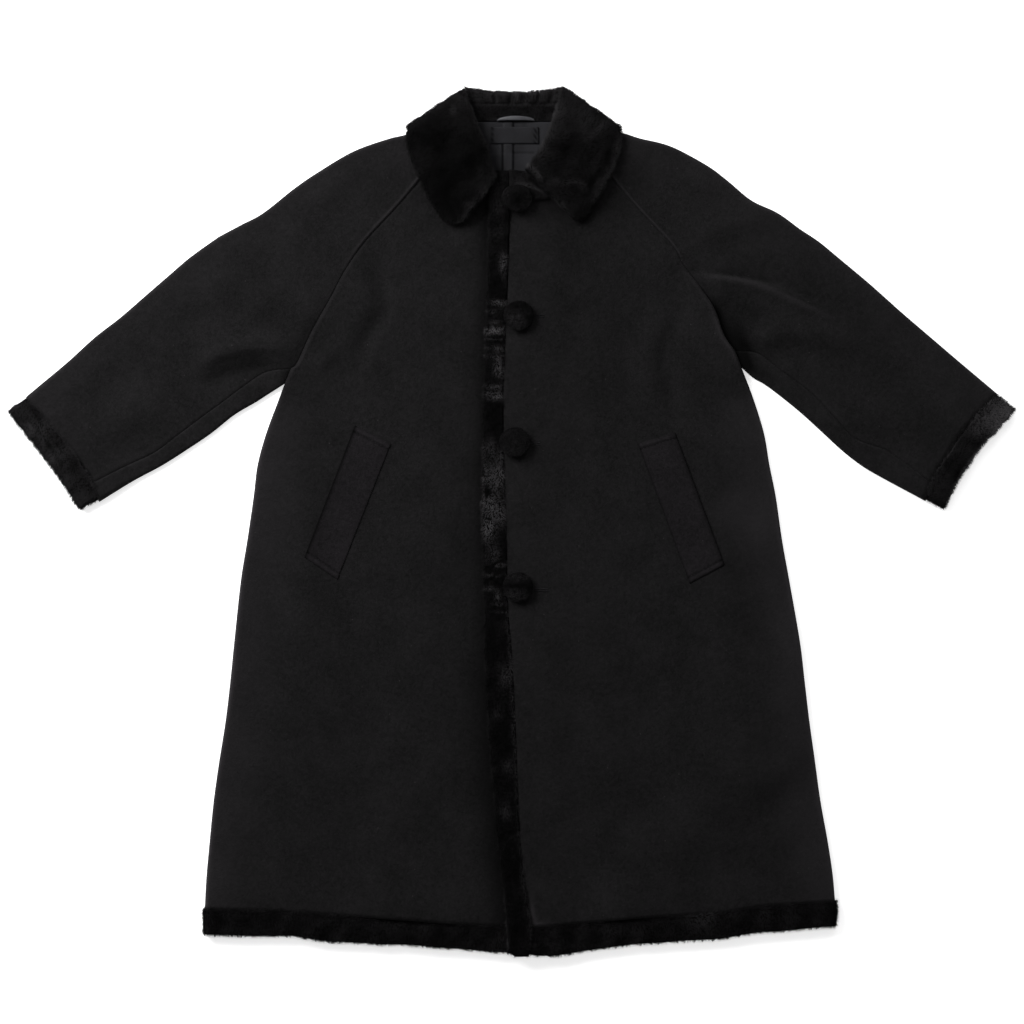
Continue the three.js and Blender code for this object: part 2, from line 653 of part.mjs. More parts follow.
const acrossCollar = [0, 0.07, 0.3, 0.55, 0.8, 0.95, 1];
const rollDrop = 4; // how far the inner edge of a leaf dips into the neck
function makeCollar() {
  const topMiddle = (x, y) => leafBottom(x, y) + fur / 2;
  const section = (row, height) =>
    acrossCollar.map((share) => {
      const [x, y] = [mix(row.inX, row.outX, share), mix(row.inY, row.outY, share)];
      return [x, y, height(x, y, share)];
    });
  const leaf = (rows) =>
    rows.map((row, i) => {
      const dip = rollDrop * smooth(0, 4, i);
      return section(row, (x, y, share) => topMiddle(x, y) - dip * (1 - smooth(0, 0.1, share)));
    });
  const fold = (line, sign) => {
    const [dx, dy] = [line.outX - line.inX, line.outY - line.inY];
    const inward = [(-dy * sign) / Math.hypot(dx, dy), (dx * sign) / Math.hypot(dx, dy)];
    const high = topMiddle((line.inX + line.outX) / 2, (line.inY + line.outY) / 2);
    const [centre, radius] = [(high + fur / 2) / 2, (high - fur / 2) / 2];
    return [1, 0.6, 0.3, 0, -0.3, -0.6, -1].map((share) => {
      const angle = share * quarter;
      const shift = radius + fur / 2 - radius * Math.cos(angle);
      const [sx, sy] = [inward[0] * shift, inward[1] * shift];
      const moved = { inX: line.inX + sx, inY: line.inY + sy, outX: line.outX + sx, outY: line.outY + sy };
      return section(moved, () => centre + radius * Math.sin(angle));
    });
  };
  const rightHalf = [...leaf(leafRight), ...fold(foldRight, 1)];
  const leftHalf = [...leaf(leafLeft), ...fold(foldLeft, -1)];
  const behind = fallBack.map((row) => section(row, () => fur / 2));
  return plush([...rightHalf, ...behind, ...leftHalf.reverse()], fur);
}

// Stand: up from the neck seam over the fall, gathered, and rolled back down behind
function makeCollarStand() {
  const columns = 4 * gathers.count;
  const rollRadius = 7;
  const [outer, inner] = [[], []];
  for (let k = 0; k <= columns; k++) {
    const side = mix(-1, 1, k / columns);
    const x = neck.centre + neck.halfWidth * side;
    const roll = neck.rollY + neck.rollRise * side * side;
    const wave = gathers.depth * (0.5 - 0.5 * Math.cos((k / columns) * gathers.count * 2 * Math.PI));
    const ease = 1 - Math.abs(side) ** 6;
    const profile = [
      { y: neck.seamY + seam, z: fur + rest, thick: standThick - 1, gather: 0 },
      { y: mix(neck.seamY, roll, 0.3), z: fur + rest, thick: standThick, gather: 0.2 },
      { y: mix(neck.seamY, roll, 0.45), z: fur + rest, thick: standThick, gather: 0.9 },
      { y: roll - rollRadius, z: fur + rest + 1, thick: standThick, gather: 1 },
    ];
    const outerRow = profile.map(({ y, z, thick, gather }) => [x, y, z + thick - wave * gather * ease]);
    const innerRow = profile.map(({ y, z }) => [x, y, z]);
    const top = fur + rest + 1 + standThick;
    for (const angle of [0.5, 0, -0.5, -1]) {
      const [c, s] = [Math.cos(angle * quarter), Math.sin(angle * quarter)];
      const thin = Math.min(top / 2 - 0.8, standThick);
      const dent = (wave * ease * (1 + angle)) / 2;
      outerRow.push([x, roll - rollRadius + (rollRadius - dent * 0.6) * c, top / 2 + (top / 2) * s]);
      innerRow.push([x, roll - rollRadius + (rollRadius - thin) * c, top / 2 + (top / 2 - thin) * s]);
    }
    outer.push(outerRow);
    inner.push(innerRow);
  }
  return sheet(outer, inner);
}

// Thin piece lying on a surface z = under(x, y), over a grid given by place(u, v)
function patch(rows, columns, place, under, thick) {
  const layer = (lift) =>
    Array.from({ length: rows + 1 }, (_, i) =>
      Array.from({ length: columns + 1 }, (_, j) => {
        const [x, y] = place(j / columns, i / rows);
        return [x, y, under(x, y) + lift];
      }),
    );
  return sheet(layer(thick), layer(0));
}

const rectangle = (piece) => (u, v) => [mix(piece.left, piece.right, u), mix(piece.top, piece.bottom, v)];
const onBack = (x, y) => backBottom(x, y) + wall + seam;

function makeLoop() {
  const columns = 12;
  const place = (u, v) => {
    const x = mix(loop.left, loop.right, u);
    const crest = mix(neck.seamY + seam, loop.top, Math.sin(Math.PI * u) ** 0.6);
    return [x, crest - v * loop.width * Math.max(0.25, Math.sin(Math.PI * u) ** 0.6)];
  };
  const height = fur + rest + standThick;
  const arch = (x) => loop.arch * Math.sin((Math.PI * (x - loop.left)) / (loop.right - loop.left));
  return patch(2, columns, place, (x) => height + arch(x), loop.thick);
}

function makeWelt(welt, under) {
  const place = (u, v) => mixPoint(mixPoint(...welt.top, u), mixPoint(...welt.end, u), v);
  return patch(9, 3, place, (x, y) => under(x, y) + seam, weltThick);
}

// Covered button: a low dome on a rounded rim
function makeButton() {
  const profile = [new THREE.Vector2(0, 0), new THREE.Vector2(button.radius - 2, 0)];
  profile.push(new THREE.Vector2(button.radius, button.rim));
  for (let k = 1; k < button.steps; k++) {
    const angle = (k / button.steps) * quarter;
    const rise = (button.height - button.rim) * Math.sin(angle);
    profile.push(new THREE.Vector2(button.radius * Math.cos(angle), button.rim + rise));
  }
  profile.push(new THREE.Vector2(0, button.height));
  return new THREE.LatheGeometry(profile, button.segments).rotateX(quarter);
}

// Joins with manifold-3d
const wasm = await Module();
wasm.setup();

function toSolid(geometry) {
  const bare = new THREE.BufferGeometry();
  bare.setAttribute("position", geometry.getAttribute("position"));
  bare.setIndex(geometry.index);
  const merged = mergeVertices(bare, 1e-3);
  const vertProperties = merged.attributes.position.array;
  const triVerts = new Uint32Array(merged.index.array);
  return new wasm.Manifold(new wasm.Mesh({ numProp: 3, vertProperties, triVerts }));
}

function joined(first, second) {
  const made = toSolid(first).add(toSolid(second)).getMesh();
  const geometry = new THREE.BufferGeometry();
  geometry.setAttribute("position", new THREE.BufferAttribute(made.vertProperties, 3));
  geometry.setIndex(new THREE.BufferAttribute(made.triVerts, 1));
  geometry.computeVertexNormals();
  return geometry;
}

const melton = { color: 0x1a191a, roughness: 0.95, metalness: 0 };
const plushFur = { color: 0x0c0b0c, roughness: 0.8, metalness: 0 };
const liningCloth = { color: 0x2c2b2e, roughness: 0.5, metalness: 0 };
const satin = { color: 0x8f8f94, roughness: 0.35, metalness: 0 };

const coat = new THREE.Group();
function add(name, geometry, look) {
  const mesh = new THREE.Mesh(geometry, new THREE.MeshStandardMaterial(look));
  mesh.name = name;
  coat.add(mesh);
  return mesh;
}

add("back", makeBack(), melton);
add("front_right", makeFrontRight(), melton);
add("front_left", makeFrontLeft(), melton);
add("sleeve_right_front", makeSleeveFront(sleeveRight, cuffRight), melton);
add("sleeve_right_back", makeSleeveBack(sleeveRight, cuffRight), melton);
add("sleeve_left_front", makeSleeveFront(sleeveLeft, cuffLeft), melton);
add("sleeve_left_back", makeSleeveBack(sleeveLeft, cuffLeft), melton);
add("cuff_right", makeCuff(cuffRight), plushFur);
add("cuff_left", makeCuff(cuffLeft), plushFur);
add("hem_band", makeHemBand(), plushFur);
add("front_band", makeEdgeBand(), plushFur);
add("collar", makeCollar(), plushFur);
add("collar_stand", makeCollarStand(), plushFur);
add("back_lining", patch(8, 8, rectangle(lining), onBack, lining.thick), liningCloth);
add("label", patch(2, 4, rectangle(label), (x, y) => onBack(x, y) + lining.thick + seam, label.thick), satin);
add("hanger_loop", makeLoop(), satin);
add("welt_right", makeWelt(weltRight, frontTop), melton);
add("welt_left", makeWelt(weltLeft, overTop), melton);
buttons.forEach(({ x, y }, index) => {
  const mesh = add(`button_${index + 1}`, makeButton(), plushFur);
  // It lies on the edge band, tilted to its slope
  const [above, below] = [button.radius, -button.radius].map((dy) => edgeBandBottom(x - button.radius, y + dy));
  mesh.position.set(x, y, (above + below) / 2 + fur + 2 * rest);
  mesh.rotation.x = Math.atan2(above - below, 2 * button.radius);
});

export default coat;
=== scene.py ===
# A long raglan wool coat with plush fur trim, buttoned and laid on its back: its looks.
# Shapes are worked out in millimetres and turned to metres when a mesh is made.
# +X is the wearer's left, +Y runs to the collar, +Z rises from the surface it lies on.
import bpy
import numpy as np
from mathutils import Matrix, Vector


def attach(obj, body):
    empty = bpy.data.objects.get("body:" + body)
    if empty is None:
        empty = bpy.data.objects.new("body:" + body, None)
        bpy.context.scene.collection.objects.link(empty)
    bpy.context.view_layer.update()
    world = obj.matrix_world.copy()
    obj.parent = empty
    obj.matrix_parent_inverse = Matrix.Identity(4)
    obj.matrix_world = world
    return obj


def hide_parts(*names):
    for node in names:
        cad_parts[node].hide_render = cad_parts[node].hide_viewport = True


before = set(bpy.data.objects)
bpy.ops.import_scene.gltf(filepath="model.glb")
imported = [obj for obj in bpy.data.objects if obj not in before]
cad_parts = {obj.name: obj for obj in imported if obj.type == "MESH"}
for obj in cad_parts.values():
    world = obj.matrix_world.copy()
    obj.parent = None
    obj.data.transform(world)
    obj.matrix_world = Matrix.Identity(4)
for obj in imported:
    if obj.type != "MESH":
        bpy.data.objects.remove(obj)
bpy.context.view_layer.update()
dice = np.random.default_rng(61)  # one seed for everything that is scattered

# Sizes shared by all pieces
# Wool, which tucks under a band, and fur bands, whose skin stops short by the pile that fills the rest
cloth = {"wall": 3.0, "layerGap": 2.6, "seam": 0.3, "bandSeam": -2.4, "rest": 0.4}
furBand = {"thick": 6.5, "pile": 1.7, "gap": 1.2}
frontStack = 2 * cloth["wall"] + cloth["layerGap"]
bandTop = 2 * furBand["thick"] + furBand["gap"]
underEdgeX = 18  # front edge of the under front, hidden by the over front
neckSeamY = 499  # seam of the back and its collar
bandRaise, bandReach = 4, 70  # how far wool rises to meet a doubled fur band, and over what length
seamDip = {"depth": 0.8, "width": 1.2}  # groove along a seam
quarter = np.pi / 2

# Outline of the body from the armpits to the hem band: left x, left y, right x, right y
sides = np.array([
    (-284, 171, 288, 191), (-292, 150, 302, 155), (-307, 110, 316, 110), (-318, 70, 323, 70),
    (-323, 30, 331, 30), (-331, -25, 339, -25), (-339, -75, 348, -75), (-347, -150, 361, -150),
    (-352, -200, 367, -200), (-358, -250, 373, -250), (-366, -300, 380, -300), (-373, -350, 387, -350),
    (-378, -400, 396, -400), (-382, -445, 402, -440), (-384, -484, 405, -474),
], float)

# Sleeves from neck to cuff: edge over the arm, seam in front, folded edge under the arm (none on the raglan)
raglanRows = 10
sleeveRight = np.array([
    (-71, 500, -71, 478, 0, 0), (-102, 491, -94, 450, 0, 0), (-134, 482, -118, 421, 0, 0),
    (-155, 477, -149, 386, 0, 0), (-200, 461, -184, 348, 0, 0), (-244, 435, -209, 312, 0, 0),
    (-273, 415, -227, 278, 0, 0), (-311, 385, -251, 235, 0, 0), (-339, 370, -268, 198, 0, 0),
    (-367, 355, -276, 190, -284, 171), (-402, 330, -307, 186, -306, 157), (-430, 306, -334, 169, -320, 148),
    (-460, 280, -359, 150, -347, 132), (-490, 254, -388, 129, -376, 109), (-521, 230, -416, 108, -404, 90),
    (-554, 200, -447, 85, -437, 69), (-580, 178, -483, 68, -474, 49), (-606, 156, -520, 50, -512, 26),
], float)
sleeveLeft = np.array([
    (77, 500, 82, 478, 0, 0), (108, 492, 106, 450, 0, 0), (141, 484, 128, 424, 0, 0),
    (160, 478, 167, 381, 0, 0), (200, 468, 203, 342, 0, 0), (244, 445, 216, 319, 0, 0),
    (271, 425, 234, 295, 0, 0), (300, 401, 254, 265, 0, 0), (333, 385, 266, 232, 0, 0),
    (361, 365, 280, 212, 288, 191), (385, 349, 308, 209, 303, 178), (408, 330, 337, 188, 320, 168),
    (444, 300, 376, 159, 357, 139), (470, 277, 404, 130, 387, 112), (489, 260, 428, 104, 413, 88),
    (524, 230, 452, 94, 436, 70), (559, 200, 474, 85, 459, 56), (607, 159, 522, 50, 514, 27),
], float)

# Cuff bands from the over edge to the under edge: where the fur meets the wool, and its free edge
cuffRight = np.array([
    (-606, 156, -632, 138), (-580, 128, -607, 106), (-556, 98, -582, 74), (-535, 70, -560, 43),
    (-512, 26, -541, 12),
], float)
cuffLeft = np.array([
    (607, 159, 632, 140), (584, 136, 609, 114), (562, 111, 588, 92), (545, 84, 570, 65),
    (528, 58, 554, 40), (514, 27, 541, 12),
], float)

# Hem band: x, upper edge, lower edge
hem = np.array([
    (-388, -484, -519), (-288, -487, -522), (-214, -492, -528), (-139, -497, -533), (-62, -503, -538),
    (0, -506, -542), (30, -506, -544), (79, -502, -541), (159, -495, -531), (254, -489, -524),
    (318, -480, -516), (409, -474, -508),
], float)
hemSide = (-388, 409)

# Edge band of the over front: y, left edge, right edge
bandEdge = np.array([
    (424, -31, -1), (381, -29, -1), (280, -32, -4), (150, -36, -9), (20, -38, -6), (-110, -35, -3),
    (-155, -35, 1), (-272, -29, 7), (-331, -24, 9), (-420, -16, 14), (-479, -9, 22), (-512, -7, 26),
    (-546, -5, 23),
], float)

# Collar sections, rolled inner edge and free outer edge: inner x, inner y, outer x, outer y
leafRight = np.array([
    (-18, 428, -58, 374), (-20, 434, -76, 371), (-25, 443, -92, 384), (-27, 455, -108, 410),
    (-30, 467, -119, 436), (-37, 482, -128, 456), (-46, 506, -132, 472),
], float)
foldRight = np.array((-59, 542, -130, 495.5), float)
leafLeft = np.array([
    (16, 438, 78, 375), (22, 445, 92, 376), (27, 452, 104, 396), (32, 459, 114, 412),
    (37, 467, 124, 431), (44, 481, 134, 450), (53, 506, 139, 468),
], float)
foldLeft = np.array((64, 544, 136, 493.5), float)
fallBack = np.array([
    (-42, 527, -100, 466), (-22, 524, -50, 458), (3, 522, 3, 455), (28, 524, 56, 458), (48, 528, 106, 467),
], float)


def mix(a, b, t):
    return a + (b - a) * t


def bell(away, width):  # 1 in the middle, and falling off on both sides as the normal curve does
    return np.exp(-((away / width) ** 2))


def smooth(low, high, value):  # 0 below low, 1 above high, an S between
    t = np.clip((value - low) / (high - low), 0, 1)
    return t * t * (3 - 2 * t)


def curve(rows, places):
    # Smooth curve through the rows of a table: between two rows a cubic whose slopes at its ends are half
    # the chord of the rows either side. places run from 0 to the last row's number.
    rows = np.asarray(rows, float)
    last = len(rows) - 1
    low = np.clip(places.astype(int), 0, last - 1)
    wide = low.shape + (1,) * (rows.ndim - 1)
    t = (places - low).reshape(wide)
    a, b = rows[low], rows[low + 1]
    slopeA = (b - rows[np.maximum(low - 1, 0)]) / np.where(low > 0, 2, 1).reshape(wide)
    slopeB = (rows[np.minimum(low + 2, last)] - a) / np.where(low + 2 <= last, 2, 1).reshape(wide)
    return (a * (2 * t**3 - 3 * t**2 + 1) + b * (3 * t**2 - 2 * t**3)
            + slopeA * (t**3 - 2 * t**2 + t) + slopeB * (t**3 - t**2))


def lookUp(table, key, column):  # value of a column at a key in the first column, along the smooth curve
    fine = curve(table, np.linspace(0, len(table) - 1, 40 * len(table)))
    fine = fine[np.argsort(fine[:, 0])]
    return np.interp(key, fine[:, 0], fine[:, column])


def hemTop(x):
    return lookUp(hem, x, 1)


def grid(rows, columns):  # u down the rows and v across the columns, both 0 to 1
    return np.meshgrid(np.linspace(0, 1, rows), np.linspace(0, 1, columns), indexing="ij")


# Soft unevenness of laid cloth: a sum of plane waves of random heading. stretch above 1 makes them run up
# and down
def swayField(count, shortest, longest, stretch, seed):
    lot = np.random.default_rng(seed)
    angle = lot.uniform(0, np.pi, count)
    number = 2 * np.pi / lot.uniform(shortest, longest, count)
    return np.stack([np.cos(angle) * number, np.sin(angle) * number / stretch,
                     lot.uniform(0, 6.28, count)], 1)


def sway(field, x, y):
    waves = x[..., None] * field[:, 0] + y[..., None] * field[:, 1] + field[:, 2]
    return np.sin(waves).sum(-1) / np.sqrt(len(field))


# Folds: rise, which is below 0 for a trough, width to the left and to the right of its line
# as one walks along it, so that a fold may be sharp on one side and soft on the other, and the line
frontFolds = [
    (-1.9, 14, 3.4, [(206, 311), (234, 310), (279, 306), (312, 301), (350, 289), (390, 270)]),
    (3.0, 3.2, 14, [(206, 306), (236, 305), (279, 301), (311, 296), (350, 284), (392, 262), (420, 242)]),
    (-3.4, 15, 22, [(250, 278), (272, 262), (300, 252), (334, 246)]),
    (4.2, 36, 40, [(214, 318), (246, 280), (272, 238), (288, 196), (300, 150)]),
    (1.8, 36, 36, [(-214, 300), (-240, 262), (-264, 222), (-280, 186), (-292, 140)]),
    (3.0, 18, 16, [(224, 338), (254, 364), (318, 379), (372, 352)]),
    (4.3, 18, 12, [(298, 224), (345, 236), (402, 226), (440, 205)]),
    (-2.4, 12, 14, [(312, 206), (352, 210), (392, 196)]),
    (-2.7, 16, 20, [(420, 250), (468, 214), (520, 160)]),
    (2.4, 20, 16, [(430, 150), (482, 128), (530, 96)]),
    (2.2, 22, 14, [(170, 452), (215, 424), (262, 392)]),
    (2.8, 12, 20, [(206, 276), (186, 240), (176, 206), (180, 166), (186, 130)]),
    (-3.0, 15, 12, [(232, 296), (210, 260), (193, 222), (193, 188), (201, 150), (206, 108)]),
    (3.0, 22, 26, [(236, 170), (246, 60), (262, -60), (276, -200)]),
    (-2.4, 26, 22, [(290, 120), (306, 0), (324, -150), (346, -300)]),
    (3.4, 30, 22, [(276, -358), (336, -310), (391, -262)]),
    (-2.4, 22, 26, [(300, -386), (350, -350), (396, -330)]),
    (2.0, 30, 34, [(96, 60), (104, -120), (112, -300), (120, -460)]),
    (-1.9, 30, 30, [(160, -140), (176, -280), (186, -450)]),
    (5.7, 16, 9, [(-398, 184), (-371, 205), (-331, 216), (-296, 216), (-270, 204)]),
    (-3.8, 10, 16, [(-392, 168), (-348, 184), (-313, 189), (-284, 184)]),
    (2.7, 24, 22, [(-292, 246), (-340, 290), (-396, 300)]),
    (-2.2, 20, 18, [(-322, 250), (-372, 258), (-424, 240)]),
    (-2.4, 18, 20, [(-430, 222), (-482, 184), (-528, 128)]),
    (2.3, 16, 22, [(-420, 150), (-476, 126), (-524, 92)]),
    (2.2, 16, 20, [(-176, 448), (-222, 416), (-268, 378)]),
    (2.6, 14, 18, [(-200, 352), (-194, 318), (-186, 288), (-184, 258), (-202, 224), (-206, 182)]),
    (-4.4, 9, 17, [(-178, 352), (-168, 318), (-160, 288), (-158, 262), (-178, 234), (-185, 206),
                   (-187, 166)]),
    (2.7, 10, 9, [(-248, 188), (-232, 202), (-214, 214)]),
    (2.7, 28, 24, [(-236, 120), (-252, 0), (-262, -160), (-276, -420)]),
    (-2.3, 24, 24, [(-292, 60), (-306, -80), (-322, -240), (-336, -400)]),
    (2.0, 30, 30, [(-104, 200), (-112, 20), (-120, -180), (-132, -440)]),
    (-1.9, 28, 28, [(-172, -160), (-184, -300), (-196, -460)]),
    (-2.8, 40, 17, [(-40, 420), (-42, 280), (-47, 100), (-49, -60), (-44, -230), (-34, -400), (-24, -520)]),
]
# Painted light and shade on the wool, in rows like the folds': rise above 0 paints a highlight and below 0
# paints shade, as in the hollows and beside the edge band
paintedShadingLines = [
    (-0.62, 3, 13, [(-31, 520), (-31, 440), (-32, 330), (-34, 200), (-37, 60), (-37, -60), (-35, -240)]),
    (-0.75, 3, 21, [(-37, 60), (-36, -110), (-31, -250), (-24, -340), (-14, -440), (-6, -540), (-4, -700),
                    (-4, -860)]),
    (-0.55, 16, 2.2, [(248, 282), (258, 262), (268, 236), (280, 213), (290, 190), (300, 168)]),
    (-0.5, 9, 9, [(276, 262), (286, 236), (292, 212), (296, 192), (300, 170)]),
    (-0.3, 7, 7, [(286, 206), (298, 192), (316, 182), (340, 170)]),
    (0.22, 1.4, 6, [(240, 288), (253, 262), (264, 232), (278, 211), (288, 188)]),
    (0.34, 2.6, 4.5, [(226, 308), (262, 305), (292, 300), (318, 293), (349, 279), (386, 262), (412, 248)]),
    (-0.34, 5, 1.6, [(232, 312), (262, 310), (292, 305.5), (318, 299.5), (334, 294)]),
    (-0.12, 26, 3, [(290, 305), (330, 292), (372, 272), (420, 248), (460, 226)]),
    (-0.16, 20, 20, [(248, 300), (272, 272), (296, 250), (320, 236)]),
    (-0.3, 6, 14, [(-300, 212), (-320, 198), (-348, 190), (-380, 180), (-410, 166)]),
    (0.26, 26, 26, [(246, 34), (276, 16), (300, -4), (330, -24)]),
    (-0.18, 50, 50, [(112, 480), (108, 400), (112, 300), (116, 190), (120, 110)]),
    (0.6, 3.5, 3.5, [(22, -462), (25, -484), (28, -499), (36, -505), (62, -504)]),
]
backFolds = [
    (1.6, 16, 10, [(-270, 200), (-230, 236), (-180, 262)]),
    (1.6, 10, 16, [(280, 206), (236, 240), (186, 266)]),
    (1.4, 26, 20, [(-120, 180), (-140, -40), (-170, -300), (-180, -470)]),
    (1.4, 20, 26, [(110, 160), (130, -60), (160, -280), (176, -470)]),
    (1.3, 24, 24, [(-280, 20), (-300, -160), (-330, -380)]),
    (1.3, 24, 24, [(290, 30), (312, -150), (344, -380)]),
    (1.4, 20, 18, [(-330, 210), (-400, 190), (-470, 140)]),
    (1.4, 18, 20, [(336, 220), (404, 196), (472, 146)]),
]
frontSway = swayField(26, 60, 190, 1.8, 11)
backSway = swayField(20, 80, 220, 1.8, 23)
feltSway = swayField(40, 14, 34, 1.0, 37)


def foldHeight(fold, x, y):
    # Soft ridge or trough: a bell about the nearest place on its line, gone at the line's ends
    rise, left, right, line = fold
    bends = len(line) - 1
    line = curve(np.array(line, float), np.linspace(0, bends, 3 * bends + 1))
    nearest, height = np.full(np.shape(x), 1e9), np.zeros(np.shape(x))
    for k, (a, b) in enumerate(zip(line[:-1], line[1:])):
        d = b - a
        share = np.clip(((x - a[0]) * d[0] + (y - a[1]) * d[1]) / (d @ d), 0, 1)
        away = np.hypot(x - a[0] - share * d[0], y - a[1] - share * d[1])
        side = d[0] * (y - a[1]) - d[1] * (x - a[0])
        blend = smooth(-0.4, 0.4, side / (np.hypot(*d) * (away + 2)))
        width = mix(right, left, blend)
        along = (k + share) / (len(line) - 1)
        ends = smooth(0, 0.3, along) * smooth(0, 0.3, 1 - along)
        height = np.where(away < nearest, rise * ends * bell(away, width), height)
        nearest = np.minimum(nearest, away)
    return height


# Painted light and shade of all those lines at a place
def paintedShadingAt(x, y):
    return sum(foldHeight(turn, x, y) for turn in paintedShadingLines)


def backCrease(x, y):  # the back lifts a little off the surface under it, but lies flat near the neck
    height = 0.3 * np.maximum(sway(backSway, x, y), 0)
    for fold in backFolds:
        height = height + foldHeight(fold, x, y)
    return height * (1 - smooth(360, 410, y))


def cuffDistance(cuff, x, y):  # distance from the line between a cuff's two ends at the wool
    d = cuff[-1, :2] - cuff[0, :2]
    return np.abs((x - cuff[0, 0]) * d[1] - (y - cuff[0, 1]) * d[0]) / np.hypot(*d)


def nearBand(distance):  # how far wool is raised to meet a doubled fur band
    return bandRaise * (1 - smooth(0, bandReach, distance))


def backBottom(x, y):  # on the surface, but over the collar's fall behind the neck
    reach = np.hypot(x / 190, (y - 545) / 125)
    return (furBand["thick"] + cloth["rest"]) * (1 - smooth(1, 1.4, reach))


def frontBottom(x, y):
    # Underside of a front: above the back's wool and a gap, raised beside the hem and cuff bands, with the
    # folds and a soft unevenness added
    height = backBottom(x, y) + cloth["wall"] + cloth["layerGap"] + nearBand(y - hemTop(x))
    height = height + nearBand(np.where(x < 0, cuffDistance(cuffRight, x, y), cuffDistance(cuffLeft, x, y)))
    for fold in frontFolds:
        height = height + foldHeight(fold, x, y)
    return height + 0.55 * sway(frontSway, x, y)


def frontTop(x, y):
    return frontBottom(x, y) + cloth["wall"]


def overLift(x):  # the over front lies on the under front, then comes down beside its edge
    return (cloth["wall"] + 1.1) * (1 - smooth(34, 85, x)) + 1.8 * (1 - smooth(4, 44, x))


def overTop(x, y):
    return frontTop(x, y) + overLift(x)


def highest(surface, x, y, reach):  # a stiffer piece lies over the bumps within its reach
    shifts = (-reach, 0, reach)
    return np.max([surface(x + dx, y + dy) for dx in shifts for dy in shifts], axis=0)


def edgeBandBottom(x, y):
    # Rests on the highest wool near it, and near the hem rises to the height of the hem band's upper side
    hemRaise = bandTop - (frontStack + bandRaise) + cloth["rest"]
    nearHem = 1 - smooth(0, bandReach, y - hemTop(x))
    return highest(frontTop, x, y, 12) + cloth["rest"] + hemRaise * nearHem


def leafBottom(x, y):  # the right leaf also lies on the top of the edge band
    wool = np.where(x > 0, highest(overTop, x, y, 14), highest(frontTop, x, y, 14)) + cloth["rest"]
    fromBand = lookUp(bandEdge, y, 1) - x
    over = (furBand["thick"] + cloth["rest"]) * (1 - smooth(4, 50, fromBand))
    return wool + np.where(x > 0, 0, over)


def sheetFaces(outer, inner, looped=False):
    # Closed shell between two grids of points: both grids' quads and the strips that join their borders.
    # A looped grid has its last row joined to its first.
    rows, columns = outer.shape[:2]
    index = np.arange(2 * rows * columns).reshape(2, rows, columns)
    if looped:
        index = np.concatenate([index, index[:, :1]], axis=1)
    top, low = index
    quads = [
        np.stack([top[:-1, :-1], top[1:, :-1], top[1:, 1:], top[:-1, 1:]], -1).reshape(-1, 4),
        np.stack([low[:-1, :-1], low[:-1, 1:], low[1:, 1:], low[1:, :-1]], -1).reshape(-1, 4),
        np.stack([top[1:, 0], top[:-1, 0], low[:-1, 0], low[1:, 0]], -1),
        np.stack([top[:-1, -1], top[1:, -1], low[1:, -1], low[:-1, -1]], -1),
    ]
    if not looped:
        quads.append(np.stack([top[0, :-1], top[0, 1:], low[0, 1:], low[0, :-1]], -1))
        quads.append(np.stack([top[-1, 1:], top[-1, :-1], low[-1, :-1], low[-1, 1:]], -1))
    points = np.concatenate([outer.reshape(-1, 3), inner.reshape(-1, 3)])
    return points, facesOutward(points, np.concatenate(quads))


def facesOutward(points, faces):  # turns all faces round if the volume they enclose comes out negative
    a, b, c = (points[faces[:, k]] for k in (0, 1, 2))
    volume = np.einsum("ij,ij->i", a, np.cross(b, c)).sum()
    if faces.shape[1] == 4:
        d = points[faces[:, 3]]
        volume += np.einsum("ij,ij->i", a, np.cross(c, d)).sum()
    return faces if volume > 0 else faces[:, ::-1]


def makeObject(name, points, faces, material, marks=None, shading=None):
    mesh = bpy.data.meshes.new(name)
    mesh.vertices.add(len(points))
    mesh.vertices.foreach_set("co", np.ascontiguousarray(points * 0.001, np.float32).ravel())
    mesh.loops.add(faces.size)
    mesh.loops.foreach_set("vertex_index", np.ascontiguousarray(faces, np.int32).ravel())
    mesh.polygons.add(len(faces))
    mesh.polygons.foreach_set("loop_start", np.arange(0, faces.size, faces.shape[1], dtype=np.int32))
    mesh.update(calc_edges=True)
    mesh.polygons.foreach_set("use_smooth", np.ones(len(faces), bool))
    for key, values in (marks or {}).items():  # a number at each point, which the material reads by name
        mesh.attributes.new(key, "FLOAT", "POINT").data.foreach_set("value", values.astype(np.float32))
    if shading is not None:  # hairs are shaded together, as the pile they make up
        mesh.normals_split_custom_set_from_vertices(shading)
    mesh.materials.append(material)
    made = bpy.data.objects.new(name, mesh)
    bpy.context.collection.objects.link(made)
    return made


# Places round the quarter turn of a panel's edge
arcSteps = np.array([0, 0.16, 0.32, 0.48, 0.65, 0.82, 1])


